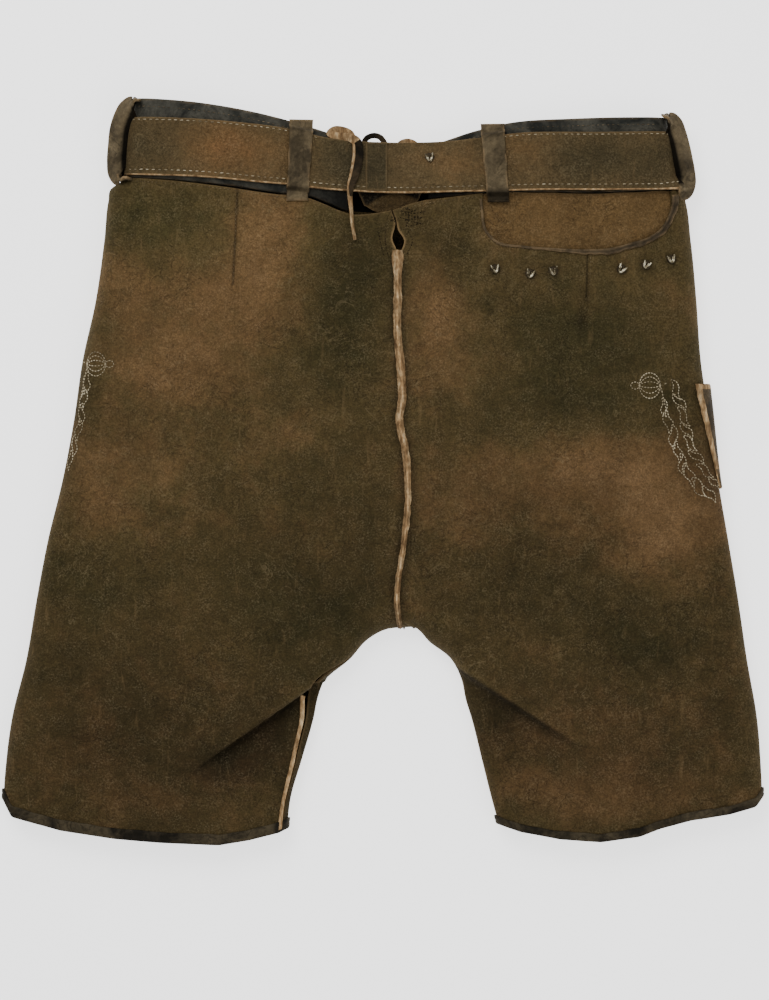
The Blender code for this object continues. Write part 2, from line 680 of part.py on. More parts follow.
def belt_splice():
    """The lapped end of the belt's second length, at the middle of the back."""
    x = np.linspace(*SPLICE, 5)
    shares = np.linspace(-0.95, 0.95, 6)
    rows = [np.stack([x, belt_height(share, x)], axis=1) for share in shares]
    base = BELT_THICKNESS + 2 * SEAM_GAP
    return patch("belt_splice", np.array(rows), base, base + SPLICE_THICKNESS)


def belt_buckle():
    """A plain plate over the meeting ends of the belt, on the front."""
    middle = line_height(FRONT_BELT, FRONT_CENTRE)
    outline = []
    for turn in range(4):
        corner_x = (BUCKLE_SIZE[0] / 2 - BUCKLE_CORNER) * (1 if turn in (0, 3) else -1)
        corner_y = (BUCKLE_SIZE[1] / 2 - BUCKLE_CORNER) * (1 if turn in (0, 1) else -1)
        for k in range(5):
            angle = math.radians(90 * turn + 22.5 * k)
            outline.append((
                FRONT_CENTRE + corner_x + BUCKLE_CORNER * math.cos(angle),
                middle + corner_y + BUCKLE_CORNER * math.sin(angle),
            ))
    rings = [[(x, y, z) for x, y in outline] for z in (0, BUCKLE_THICKNESS)]
    return swept("belt_buckle", [np.array(ring) for ring in rings])


def loop_over_belt(name, x_top, y_top, x_bottom, y_bottom):
    """A flat loop from the waistband over the belt to the panel under it, all in millimetres."""
    reach = BELT_WIDTH / 2
    foot, shoulder = reach + LOOP_RAMP, reach + 0.8 * MM
    slope = np.linspace(foot, shoulder, 4)
    rises = np.concatenate([slope, np.linspace(shoulder, -shoulder, 6)[1:], -slope[-2::-1]])
    over = ease((foot - abs(rises)) / (foot - shoulder))
    over = np.concatenate([[0], over, [0]])
    t = np.linspace(0, 1, len(over))
    widths = BACK_LOOP_WIDTHS[0] + (BACK_LOOP_WIDTHS[1] - BACK_LOOP_WIDTHS[0]) * t
    columns = []
    for side in (-1, -0.33, 0.33, 1):
        x = (x_top + (x_bottom - x_top) * t) * MM + side * widths / 2
        scale = belt_reach(x[1:-1]) / reach
        beyond = np.maximum(abs(rises) - reach, 0)
        y = line_height(BACK_BELT, x[1:-1]) + np.clip(rises, -reach, reach) * scale + np.sign(rises) * beyond
        y = np.concatenate([[max(y_top * MM, y[0] + 1 * MM)], y, [min(y_bottom * MM, y[-1] - 1 * MM)]])
        columns.append(np.stack([x, y], axis=1))
    low = SEAM_GAP + (BELT_THICKNESS + SEAM_GAP) * over[:, None]
    return patch(name, np.stack(columns, axis=1), low, low + LOOP_THICKNESS)


def strap_section(point, broad, thin):
    """The four corners of a flat strap's section."""
    return np.array([point - broad - thin, point + broad - thin, point + broad + thin, point - broad + thin])


def rounded_route(corners, count):
    """Evenly spaced points of a rounded line through corners in space, and the unit directions there."""
    along = chords(corners)
    fine = np.linspace(0, along[-1], count)
    line = np.stack([smooth(fine, along, corners[:, k]) for k in range(3)], axis=1)
    ahead = np.gradient(line, axis=0)
    return line, ahead / np.linalg.norm(ahead, axis=1, keepdims=True)


def loop_at_side(name, side, route):
    """A loose loop that stands off the belt at a side fold, its face turned half outwards."""
    broad = np.array([side * math.cos(SIDE_LOOP_TILT), 0, math.sin(SIDE_LOOP_TILT)])
    sections = []
    for point, way in zip(*rounded_route(np.array(route) * MM, 18)):
        out = np.cross(way, broad)
        out /= np.linalg.norm(out)
        across = np.cross(out, way)
        sections.append(strap_section(point, across * LOOP_WIDTH / 2, out * LOOP_THICKNESS / 2))
    return swept(name, sections)


def notch_gusset():
    """The piece under the notch of the waistband, which shows below the belt."""
    top = 218 * MM
    rows = []
    for t in np.linspace(0, 1, 8):
        half = (34 - 16 * t) * MM
        x = np.linspace(5 * MM - half, 6 * MM + half, 7)
        rows.append(np.stack([x, top + (line_height(GUSSET_EDGE, x) - top) * t], axis=1))
    under = -LEATHER - SEAM_GAP
    return patch("notch_gusset", np.array(rows), under - GUSSET_THICKNESS, under)


# ---------------------------------------------------------------------------------------------------
# Trim
# ---------------------------------------------------------------------------------------------------


def welt_centre_back():
    """The raised double strip over the centre back seam, from below the slit to the crotch."""
    fractions = np.linspace(*WELT_SPAN, 46)
    line = line_points(CENTRE_BACK, fractions)
    wide, narrow = WELT_HALF_WIDTHS
    half = wide + (narrow - wide) * ease((fractions - 0.35) / 0.6)
    width = np.stack([half * side for side in (1, 0, -1)], axis=1)
    high = SEAM_GAP + np.array([TRIM_THICKNESS, WELT_RIDGE, TRIM_THICKNESS])[:, None]
    return ribbon("welt_centre_back", line, width, SEAM_GAP, high)


def welt_inseam_left():
    """The narrow strip over the inseam of the left leg, where the front panel folds round to the top."""
    points, directions = [], []
    for row in half_rows(left=True, front=False)[:-1]:
        if row[0, 1] > WELT_INSEAM_TOP:
            continue
        at = inseam_shift(True, row[0, 1]) + np.array([-1, 0, 1]) * WELT_INSEAM_HALF
        here, ahead = resampled(on(upper, row), at)
        points.append(here)
        directions.append(ahead)
    high = SEAM_GAP + TRIM_THICKNESS
    return wall("welt_inseam_left", np.array(points), np.array(directions), SEAM_GAP, high)


def hem_binding(name, left):
    """A binding folded over the whole lower edge of a leg: a U section swept round the opening."""
    back, back_ahead = panel_grid(left, front=False)
    front, front_ahead = panel_grid(left, front=True)
    above, edge = (np.concatenate([back[k], front[k]]) for k in (-2, -1))
    out_back, out_front = outward(back, back_ahead), outward(front, front_ahead)
    out_above, out_edge = (np.concatenate([out_back[k], out_front[k]]) for k in (-2, -1))
    outer, inner = SEAM_GAP, -LEATHER - SEAM_GAP
    top, web, fold = HEM_BINDING_WIDTH, -SEAM_GAP, -SEAM_GAP - BINDING_THICKNESS
    profile = (
        # up from the lower edge, out from the panel's outer face
        (top, outer), (top, outer + BINDING_THICKNESS), (fold, outer + BINDING_THICKNESS),
        (fold, inner - BINDING_THICKNESS), (top, inner - BINDING_THICKNESS), (top, inner),
        (web, inner), (web, outer),
    )
    sections = []
    for foot, head, out_foot, out_head in zip(edge, above, out_edge, out_above):
        span = math.dist(foot, head)
        sections.append(np.array([
            foot + (head - foot) * (up / span) + (out_foot + (out_head - out_foot) * max(up / span, 0)) * out
            for up, out in profile
        ]))
    return swept(name, sections, closed=True)


def knife_pocket():
    """A narrow pocket on the right side fold; its mouth stands open a little."""
    points, directions = [], []
    down = np.linspace(0, 1, 9)
    wide, narrow = KNIFE_POCKET_WIDTHS
    for t in down:
        y = KNIFE_POCKET_TOP - KNIFE_POCKET_LENGTH * t
        x = side_right(y) - ROLL_WIDTH * 2 * (1 - np.cos(np.linspace(math.pi / 2, 0, 61)))
        row = np.stack([x, np.full_like(x, y)], axis=1)
        path = garment_path(row)
        middle = chords(path)[len(row) - 1]
        over = wide + (narrow - wide) * t**1.3
        at = np.linspace(middle - over, middle + KNIFE_POCKET_UNDER, 8)
        here, ahead = resampled(path, at)
        points.append(here)
        directions.append(ahead)
    gape = (SEAM_GAP + KNIFE_POCKET_GAPE * (1 - down) ** 1.5)[:, None]
    return wall("knife_pocket", np.array(points), np.array(directions), gape, gape + KNIFE_POCKET_THICKNESS)


def lace():
    """The flat strap of the back lacing: two low bends and a loop over the belt's edge, then its free end."""
    rows = np.array(LACE, float)
    x, y = rows[:, 0] * MM, rows[:, 1] * MM
    height = upper(x, y) + rows[:, 2] * MM
    corners = np.stack([x, y, height], axis=1)
    line, ahead = rounded_route(corners, LACE_SECTIONS)
    along = chords(corners)
    fine = np.linspace(0, along[-1], LACE_SECTIONS)
    half = smooth(fine, along, rows[:, 3]) / 2 * MM
    turn = np.radians(smooth(fine, along, rows[:, 4]))
    sections = []
    for point, way, reach, angle in zip(line, ahead, half, turn):
        flat = np.cross(way, (0, 0, 1))
        flat /= np.linalg.norm(flat)
        up = np.cross(flat, way)
        broad = (flat * math.cos(angle) + up * math.sin(angle)) * reach
        thin = (up * math.cos(angle) - flat * math.sin(angle)) * LACE_THICKNESS / 2
        sections.append(strap_section(point, broad, thin))
    return swept("lace", sections)


def stud(name, x, y, rise):
    """A metal claw: two curved prongs that rise from one root, thinner towards their tips."""
    angles = np.linspace(0, 2 * math.pi, 7)[:-1]
    sections = []
    for t in np.linspace(-1, 1, 11):
        middle_x = x * MM + t * STUD_WIDTH / 2 * (1 - 0.25 * abs(t))
        middle_y = y * MM + STUD_WIDTH * (0.75 * abs(t) ** 1.4 - 0.3)
        radius = STUD_WIRE * (1 - 0.45 * abs(t))
        base = upper(middle_x, middle_y) + rise * MM + SEAM_GAP + STUD_WIRE * (1.05 + 0.5 * abs(t))
        tilt = t * 0.9
        beside = radius * np.cos(angles)
        sections.append(np.stack([
            middle_x - beside * math.sin(tilt),
            middle_y + beside * math.cos(tilt),
            base + radius * np.sin(angles),
        ], axis=1))
    return swept(name, sections)


# ---------------------------------------------------------------------------------------------------
# Materials and the whole
# ---------------------------------------------------------------------------------------------------

FINISHES = {
    # name: colour in sRGB from 0 to 255, roughness, metallic
    "olive_suede": ((75, 59, 36), 0.9, 0.0),
    "dark_suede": ((53, 44, 26), 0.9, 0.0),
    "belt_leather": ((90, 71, 46), 0.8, 0.0),
    "worn_edge_leather": ((60, 55, 47), 0.55, 0.0),
    "pocket_leather": ((98, 75, 48), 0.85, 0.0),
    "raw_leather": ((145, 116, 84), 0.8, 0.0),
    "binding_leather": ((48, 42, 32), 0.5, 0.0),
    "old_metal": ((120, 112, 100), 0.35, 1.0),
}


def linear(channel):
    """An sRGB channel from 0 to 255 as a linear one."""
    share = channel / 255
    return share / 12.92 if share <= 0.04045 else ((share + 0.055) / 1.055) ** 2.4


def material(finish):
    made = bpy.data.materials.get(finish)
    if made:
        return made
    colour, roughness, metallic = FINISHES[finish]
    made = bpy.data.materials.new(finish)
    made.use_nodes = True
    shader = made.node_tree.nodes["Principled BSDF"]
    shader.inputs["Base Color"].default_value = (*map(linear, colour), 1)
    shader.inputs["Roughness"].default_value = roughness
    shader.inputs["Metallic"].default_value = metallic
    made.diffuse_color = (*map(linear, colour), 1)
    return made


def finish(piece, name):
    piece.data.materials.clear()
    piece.data.materials.append(material(name))


def build():
    for old in list(bpy.data.objects):
        bpy.data.objects.remove(old, do_unlink=True)
    finish(panel("back_left", left=True, front=False), "olive_suede")
    finish(back_right_with_pocket(), "olive_suede")
    finish(panel("front_left", left=True, front=True), "dark_suede")
    finish(panel("front_right", left=False, front=True), "dark_suede")
    finish(waistband_back("waistband_back_left", left=True), "worn_edge_leather")
    finish(waistband_back("waistband_back_right", left=False), "worn_edge_leather")
    finish(waistband_front(), "worn_edge_leather")
    finish(notch_gusset(), "pocket_leather")
    finish(pocket_panel(), "pocket_leather")
    finish(pocket_binding(), "binding_leather")
    finish(belt(), "belt_leather")
    finish(belt_splice(), "belt_leather")
    finish(belt_buckle(), "old_metal")
    for name, *sizes in LOOPS_BACK:
        finish(loop_over_belt(name, *sizes), "worn_edge_leather")
    for name, side, route in SIDE_LOOPS:
        finish(loop_at_side(name, side, route), "worn_edge_leather")
    finish(welt_centre_back(), "raw_leather")
    finish(welt_inseam_left(), "raw_leather")
    finish(hem_binding("hem_binding_left", left=True), "binding_leather")
    finish(hem_binding("hem_binding_right", left=False), "binding_leather")
    finish(knife_pocket(), "raw_leather")
    finish(lace(), "raw_leather")
    for number, place in enumerate(STUDS, 1):
        finish(stud(f"stud_{number}", *place), "old_metal")


build()
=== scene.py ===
"""Leather, sewing and trim of short leather breeches that lie flat on their front, over their solids.

+X runs from the wearer's left to the right, +Y from the hems to the waist and +Z up, in metres.
"""

import math

import bpy
import numpy as np
from bpy.props import FloatProperty, FloatVectorProperty, IntProperty, PointerProperty
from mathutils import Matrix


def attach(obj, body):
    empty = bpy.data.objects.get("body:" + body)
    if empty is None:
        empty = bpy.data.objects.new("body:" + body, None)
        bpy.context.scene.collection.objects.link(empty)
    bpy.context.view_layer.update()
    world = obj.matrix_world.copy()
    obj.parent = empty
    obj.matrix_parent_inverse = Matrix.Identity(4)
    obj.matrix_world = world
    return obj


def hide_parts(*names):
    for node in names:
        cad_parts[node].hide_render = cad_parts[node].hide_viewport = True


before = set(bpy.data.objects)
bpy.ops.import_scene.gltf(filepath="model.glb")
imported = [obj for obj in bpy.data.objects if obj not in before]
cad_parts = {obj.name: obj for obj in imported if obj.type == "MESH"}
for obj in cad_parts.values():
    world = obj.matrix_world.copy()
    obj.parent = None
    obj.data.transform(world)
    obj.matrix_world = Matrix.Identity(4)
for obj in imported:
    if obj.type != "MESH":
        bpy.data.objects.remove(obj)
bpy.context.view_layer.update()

bl_info = {
    "name": "Leather Breeches Maker",
    "version": (1, 0, 0),
    "blender": (4, 5, 0),
    "location": "3D View > Sidebar > Breeches",
    "description": "Cuts, sews and finishes short leather breeches with their belt, laid flat",
    "category": "Object",
}

MM = 0.001
BODY = "root"
SENSOR_WIDTH = 36

# Sizes that the solids share, in metres.
LEATHER = 2.0 * MM
SEAM_GAP = 0.3 * MM
BELT_THICKNESS = 3.5 * MM
BELT_WIDTH = 40.0 * MM
BUCKLE_THICKNESS = 2.0 * MM
BUCKLE_SIZE = (46.0 * MM, 44.0 * MM)
BUCKLE_CORNER = 6.0 * MM
BINDING_THICKNESS = 1.2 * MM
HEM_BINDING_WIDTH = 6.0 * MM
EDGE_HALF_HEIGHT = 9.5 * MM
ROLL_WIDTH = 14.0 * MM
CROWN_WIDTH = 110.0 * MM
SEAM_UNDER_SIDE = 4.0 * MM
BUCKLE_LIFT = BUCKLE_THICKNESS + SEAM_GAP
WAIST_LIFT = BELT_THICKNESS + SEAM_GAP
HEM_LIFT = BINDING_THICKNESS + SEAM_GAP
FRONT_CENTRE = 12.0 * MM
WAIST_ROLL_AWAY = 8.0 * MM
NOTCH = (-24.0 * MM, 31.0 * MM)
WAIST_SEAM_GAP = 0.6 * MM
BELT_EASE = 0.3 * MM
BELT_FORESHORTENED = 0.12
LOOP_WIDTH = 11.0 * MM
BACK_LOOP_WIDTHS = (16.5 * MM, 15.0 * MM)
LOOP_THICKNESS = 2.0 * MM
LOOP_RAMP = 4.5 * MM
SIDE_LOOP_TILT = math.radians(38)
SPLICE = (-12.0 * MM, 3.0 * MM)
LACE_THICKNESS = 1.6 * MM
CLAW_WIDTH = 6.6 * MM
CLAW_WIRE = 1.15 * MM
POCKET_THICKNESS = 1.8 * MM
INNER_POCKET_THICKNESS = 1.6 * MM
INNER_POCKET_GAP = 0.7 * MM
NOTCH_PIECE_TOP = 218 * MM
INSEAM_WELT_START = -159 * MM
INSEAM_WELT_HALF = 1.5 * MM
RIGHT_BINDING_SHARE = 0.75
LOOP_LOWEST = 10 * MM
SHARP_ANGLE = math.radians(50)
PICTURE_HEIGHT = 18.0 * MM
MIDDLE_HEIGHT = 11.0 * MM
FLOOR_HEIGHT = -0.4 * MM
CROTCH_Y = -109.0 * MM
CROTCH_EASE = 0.9 * MM
CROTCH_EASE_REACH = 14.0 * MM
SIDE_AT_CROTCH = -84.0 * MM
TRUNK_SHARE = 0.62
SLIT_MIDDLES = (160.5 * MM, 155.5 * MM)
SLIT_REACH = 11.0 * MM
SLIT_OPEN = (3.4 * MM, 4.6 * MM)
MEETING = 0.1 * MM
MEETING_END = CROTCH_Y + 16 * MM
# The belt's rows of stitches, at shares of its half width.
UPPER_ROW, LOWER_ROW = 0.915, -0.81

# Rows and columns of the leather pieces; near a cut edge they lie closer, in millimetres from it.
NEAR_EDGE = (0, 0.2, 0.5, 1.0, 1.8)
DART_COLUMNS = np.array((-4, -2.6, -1.7, -1.1, -0.6, -0.2, 0.2, 0.6, 1.1, 1.7, 2.6, 4)) * MM
BAND_COLUMNS, FRONT_BAND_COLUMNS, BELT_COLUMNS, LACE_STEPS = 150, 200, 430, 300
TRUNK_LENGTH = 283.0 * MM
LEG_LENGTH = 165.0 * MM
TRUNK_START = np.array((0, 0.2, 0.6, 1.4)) * MM / TRUNK_LENGTH
LEG_END = 1 - np.array((1.4, 0.7, 0.25, 0)) * MM / LEG_LENGTH


def table(columns, rows):
    """The columns of a table by name, in metres; its rows are in millimetres."""
    return dict(zip(columns.split(), np.array(rows, float).T * MM))


SIDES = table("along left right", (
    (-275, -262, 262), (-214, -262, 262), (-172, -257, 259), (-131, -247, 252), (-90, -240, 246),
    (-48, -232, 239), (-7, -222, 232), (35, -214, 226), (76, -208, 220), (117, -199, 217),
    (159, -193, 213), (186, -190, 209), (195, -187.5, 206), (201.5, -177, 200.5), (207, -175.8, 199.3),
    (221, -175, 198), (259, -173, 196),
))
LEVELS = table("along side middle", (
    (-260, 18, 21), (-214, 19, 24), (-150, 20, 29), (-100, 20, 32), (-20, 21, 35), (60, 22, 34),
    (130, 23, 29), (190, 23, 24.5), (260, 23, 24),
))
FOLDS = table("x0 y0 x1 y1 depth width reach under", (
    (-36, -141, -141, -214, 9.5, 4.5, 72, 6.0),
    (56, -139, 152, -200, 5.0, 13, 66, 2.0),
))
CENTRE_BACK = table("x y", (
    (6, 179), (9, 169), (10, 148), (10, 117), (10, 93), (12, 72), (13, 48), (11, 34),
    (15, 15), (17, -10), (17, -22), (14, -52), (10, -79), (10, -98), (12, -109),
))
CENTRE_FRONT = table("x y", ((12, 178), (12, 90), (12, -10), (12, -109)))
INNER_LEFT = table("x y", (
    (12, -109), (4, -110), (-10, -117), (-23, -131), (-39, -145), (-45, -159), (-48, -172),
    (-56, -200), (-64, -228), (-66, -246), (-67, -262),
))
INNER_RIGHT = table("x y", (
    (12, -109), (21, -109), (32, -119), (47, -131), (54, -145), (57, -159), (61, -172),
    (68, -200), (75, -228), (79, -243), (82, -260),
))
INNER_END = 9
HEM_LEFT = table("x y", (
    (-66, -245), (-72, -248), (-92, -253), (-113, -256.5), (-154, -255), (-185, -252.5), (-223, -247),
    (-256, -238), (-262, -226),
))
HEM_RIGHT = table("x y", (
    (79, -242), (95, -247.5), (122, -252.5), (150, -254.5), (177, -251), (191, -245.5), (212, -240),
    (239, -236), (257, -231), (262, -224),
))
BACK_SEAM = table("x y", (
    (-200, 202), (-175, 201.5), (-102, 195), (-69, 190), (-50, 188), (-37, 183), (-27, 178.5), (-18, 175.8),
    (-9, 176.3), (2, 178), (8, 179.5), (15, 182), (25, 185), (39, 187.2), (50, 188.5), (67, 190.5),
    (150, 191), (200, 193), (230, 193),
))
BACK_TOP = table("x y", (
    (-200, 257), (-174, 256.5), (-126, 253), (-66, 241), (-37, 232.5), (-12, 224), (29, 224),
    (64, 234), (84, 238.5), (132, 242), (187, 243), (230, 242),
))
BACK_BELT = table("x y", (
    (-200, 223), (-175, 223), (-126, 221.5), (-88, 218), (-66, 215.5), (-40, 211), (0, 208), (30, 208),
    (67, 210), (95, 212), (150, 212.5), (200, 213), (230, 213),
))
FRONT_SEAM = table("x y", (
    (-200, 202), (-175, 201.5), (-100, 188), (12, 178), (110, 182), (200, 193), (230, 193),
))
FRONT_TOP = table("x y", (
    (-200, 257), (-174, 256.5), (-100, 236), (12, 221), (110, 226), (198, 242), (230, 242),
))
FRONT_BELT = table("x y", (
    (-200, 223), (-175, 223), (-100, 208), (12, 199), (110, 203), (200, 213), (230, 213),
))
POCKET_OPENING = table("x y", (
    (68.3, 192), (69, 179), (72.5, 163.5), (79, 157.5), (95, 154.5), (112, 153), (139, 152), (157, 153),
    (170, 156.5), (183.5, 161), (191, 166.5), (196.5, 176), (198.7, 187), (198.3, 192),
))
GUSSET_EDGE = table("x y", ((-12, 182), (-6, 178.5), (8, 180), (20, 183), (26, 186)))
LOOPS_BACK = (
    # name, node, x and y at the top, x and y at the bottom
    ("left_back_loop", "loop_back_left", -56.5, 241.5, -59, 185),
    ("right_back_loop", "loop_back_right", 75.5, 238.5, 79.5, 184),
)
SIDE_LOOPS = (
    # name, node, side, (x, y, height) along the loop
    ("left_side_loop", "loop_side_left", 1, (
        (-167, 254.5, 25.5), (-172, 254, 25), (-177, 250.5, 23.5), (-181, 244, 21.5), (-183.8, 236, 20),
        (-185.3, 224, 19), (-186, 212, 18.5), (-185.3, 205, 18.5), (-182.5, 201, 20), (-177, 200.7, 22.5),
        (-173.6, 200.6, 24),
    )),
    ("right_side_loop", "loop_side_right", -1, (
        (192, 243.5, 25.5), (197, 242.5, 25), (201.5, 239, 23), (204.3, 233, 21.2), (207, 224, 20),
        (209.3, 214, 19), (210.8, 206, 18.5), (211.3, 198, 18.5), (209, 192, 19.5), (204, 189.5, 22),
    )),
)
LACE = (
    # x, y, rise over the upper face, width, turn
    (27, 205, -1, 4, 0), (26, 213, -1, 4, 0), (24.5, 220, -1, 4.4, 0), (21.5, 224.8, -0.8, 5, 0),
    (17, 226.4, -0.6, 5, 0), (12.5, 225, -0.8, 5, 0), (10, 220, -1, 4, 0), (6.5, 216, -1, 3.6, 0),
    (3, 220, -1, 4, 0), (1, 226, -0.8, 3.8, 0), (-2, 229.8, -0.4, 3.8, 0), (-6.5, 231, -0.4, 3.8, 0),
    (-11, 229.4, -0.5, 3.8, 0), (-14, 224.4, -0.9, 3.8, 0), (-16.5, 219.5, -1, 3.6, 0),
    (-19.5, 222.5, -1, 3.6, 0), (-20, 228, -0.2, 3.6, 0), (-22.5, 232.3, 0.8, 4.4, 0),
    (-28, 234.2, 0.9, 5.6, 0), (-34, 234.2, 0.9, 5.6, 0), (-36.8, 232.2, 1.5, 4.6, 0),
    (-34, 230.6, 2.4, 5.2, 0), (-28, 229.8, 2.6, 5.8, 0), (-22.8, 229, 5, 5.8, 0), (-18.4, 226, 6.5, 6.8, 0),
    (-17.2, 219, 5.3, 7.4, 0), (-18, 211, 5.2, 7.4, 0), (-20, 202, 5.3, 6.6, 0), (-22.2, 195, 5.8, 5.2, 5),
    (-22.7, 188, 4.9, 3.8, 40), (-22, 180, 3.6, 3.2, 55), (-21.2, 170, 3.0, 2.8, 60),
    (-19.3, 158, 2.7, 2.4, 60),
)
CLAWS = (
    # x, y, rise over the upper face, turn in degrees
    (32, 215, 3.8, 8), (77, 138, 0, 10), (101, 134.5, 0, -14), (117, 136.5, 0, 6), (164, 138, 0, -35),
    (181, 141, 0, -28), (198.5, 145, 0, 12),
)
# Side embroidery: acorns and leaves round points of the plan; a leaf has length, breadth, curl and tilt.
RIGHT_ACORN, LEFT_ACORN = (183.5, 58), (-198, 73)
RIGHT_STEM = ((191.5, 56), (193, 49), (195, 41))
LEFT_STEM = ((-204, 71), (-206.5, 60), (-208, 52))
RIGHT_LEAVES = (
    (201.5, 55.5, 14.5, 4.4, 0.9, -24), (204, 47, 14, 4.4, -0.8, -38), (206.7, 37, 15.5, 4.6, 0.9, -33),
    (209, 27.3, 14, 4.4, -0.8, -34), (211.3, 18.5, 13.5, 4.2, 0.8, -42), (215.6, 9.5, 14, 4.4, -0.8, -49),
    (222, -0.5, 15, 4.8, 0.9, -56), (228.5, -8.5, 12.5, 4.6, -0.8, -50), (193.4, 43, 12.5, 4, 0.8, -12),
    (196, 33.5, 15.5, 5.6, -0.9, -6), (199.8, 23, 16, 5.6, 0.9, -6), (202.9, 12.5, 14.5, 5, -0.9, -8),
    (206, 4, 14.5, 5, 0.9, -10), (210.5, -3, 17, 6, -0.9, -18), (217, -11.5, 15.5, 6, 0.9, -36),
    (225, -16.5, 14, 5.4, -0.8, -40),
)
LEFT_LEAVES = (
    (-204.5, 60, 15, 5.5, 0.8, -12), (-206.5, 49, 15, 5.5, -0.8, -6), (-208, 38.5, 15, 5, 0.8, -8),
    (-210, 28, 15, 5, -0.8, -10), (-213, 17, 15, 4.5, 0.8, -10), (-216, 7, 14, 4, -0.8, -10),
)
# Sewing by name: its stitches' pitch, length and width in millimetres, their irregularity and seed.
STITCHES = {
    "waistband_stitching": (3.4, 1.9, 0.5, 0.3, 5), "seam_stitching": (2.6, 1.5, 0.5, 0.3, 7),
    "repair_stitching": (2.0, 1.7, 0.6, 0.35, 9), "left_embroidery": (2.0, 1.75, 0.8, 0.15, 12),
    "right_embroidery": (2.0, 1.75, 0.8, 0.15, 11),
}
# Dark mending threads beside the slit.
MENDING = (
    ((7, 176), (6, 172.5), (8.5, 170.5)), ((6, 174), (9, 173), (5.5, 171.5)),
    ((13, 178), (20, 176.5), (28, 177.5)), ((12, 173.5), (19, 172), (26, 173.5)),
    ((17, 180), (17.5, 174), (16, 168)), ((-3, 163), (-2, 157), (0.5, 148)),
    ((2, 165), (1.5, 158), (3.5, 147)), ((17.5, 164), (20, 158), (17, 149)),
)

# Soft troughs (depth > 0) and ridges (depth < 0) of the leather: ends, depth, width and bow.
CREASES_UP = table("x0 y0 x1 y1 depth width bow", (
    (-99.7, 200, -103.2, 126, 0.9, 0.9, 0), (-103.3, 130, -100.2, 113, 1.4, 2.4, 0.6),
    (-101, 190, -104, 118, 0.9, 11, 0), (140.8, 160, 141.2, 130, 0.8, 0.9, 0),
    (141.2, 134, 139.8, 117, 0.8, 0.9, 0), (140.4, 122, 137, 97, 2.0, 2.4, -0.6),
    (141, 150, 138, 92, 0.9, 11, 0),
    (33, 168, 50, 116, 2.1, 6, 5), (-44, 171, -57, 136, 1.5, 7, 3), (-30, 162, -14, 140, 0.7, 6, 0),
    (-152, 152, -112, 147, 0.7, 6, 2), (-182, 178, -150, 165, 0.6, 7, -2), (60, 180, 58, 150, 0.8, 5, 2),
    (-12, -96, -62, -62, 1.5, 7, 4), (30, -96, 84, -70, 1.3, 8, -4), (-16, -101, -28, -119, 1.6, 3.2, 0),
    (0, -60, -72, -12, 0.9, 14, 6), (25, -50, 98, -20, 0.9, 15, -6), (44, -118, 84, -132, 0.8, 6, 3),
    (-208, 48, -181, 55.5, 0.9, 1.6, 0.5), (-242, -70, -204, -60, 0.7, 6, 0),
    (-236, -120, -230, -222, -1.3, 8, 2), (-202, -120, -186, -192, 0.8, 12, -3),
    (-118, -152, -152, -118, 0.7, 10, 3), (-88, 20, -60, -14, 0.6, 12, -4),
    (164, -188, 181, -234, 1.3, 7, 3), (199, -150, 212, -217, -1.0, 10, 0),
    (120, -118, 152, -172, 0.8, 12, -4), (90, -60, 152, -95, 0.7, 12, 5), (184, 40, 214, 20, 0.6, 7, 0),
    (-150, 20, -172, -40, 0.6, 15, 5), (-30, 60, -44, -20, -0.8, 16, 4), (56, 60, 62, -20, -0.7, 18, -4),
    (-110, -200, -128, -236, 0.7, 6, 2), (92, -205, 86, -236, 0.9, 6, 1), (112, -212, 128, -240, -0.7, 8, 0),
))
CREASES_LOW = table("x0 y0 x1 y1 depth width bow", (
    (0, -92, -66, -58, 1.2, 9, 5), (24, -94, 92, -66, 1.3, 8, -5), (12, 160, 12, -100, -0.5, 12, 0),
    (-170, 130, -112, 118, 0.7, 9, 3), (-190, 20, -132, 6, 0.8, 10, -4), (60, 140, 128, 128, 0.6, 9, 2),
    (212, 30, 150, 12, 0.8, 11, 3), (-220, -120, -160, -96, 0.9, 10, 5), (-120, -150, -150, -226, 0.8, 10, 4),
    (96, -140, 140, -116, 0.9, 8, -3), (200, -110, 176, -190, 0.8, 12, 4), (-80, 80, -30, 60, 0.5, 14, 3),
    (-64, -170, -86, -210, 0.8, 6, 2), (120, 60, 80, -10, 0.6, 13, -5), (232, -150, 226, -214, -0.8, 9, 0),
))


def smooth(x, xs, ys):
    """The height at x of a rounded line through the points (xs, ys), level past its ends."""
    slopes = np.gradient(ys, xs)
    x = np.clip(x, xs[0], xs[-1])
    i = np.clip(np.searchsorted(xs, x) - 1, 0, len(xs) - 2)
    span = xs[i + 1] - xs[i]
    t = (x - xs[i]) / span
    start = ys[i] * (1 + 2 * t) + slopes[i] * span * t
    end = ys[i + 1] * (3 - 2 * t) - slopes[i + 1] * span * (1 - t)
    return start * (1 - t) ** 2 + end * t**2


def ease(t):
    """0 below 0, 1 above 1 and a soft step between."""
    t = np.clip(t, 0, 1)
    return t * t * (3 - 2 * t)


def bell(distance, width):
    """1 at 0, falling softly to nothing at about twice the width to both sides."""
    return np.exp(-((distance / width) ** 2))


def roll(distance):
    """A quarter round: 0 at an edge, 1 past the roll's width."""
    return np.sqrt(1 - (1 - np.clip(distance / ROLL_WIDTH, 0, 1)) ** 2)


def unit(vectors):
    return vectors / np.maximum(np.linalg.norm(vectors, axis=-1, keepdims=True), 1e-12)


def plan_of(x, y):
    """Plan points from their x and y."""
    return np.stack(np.broadcast_arrays(x, y), axis=-1)


def chords(points):
    """The length along a line of points up to each of them."""
    return np.concatenate([[0], np.cumsum(np.linalg.norm(np.diff(points, axis=0), axis=1))])


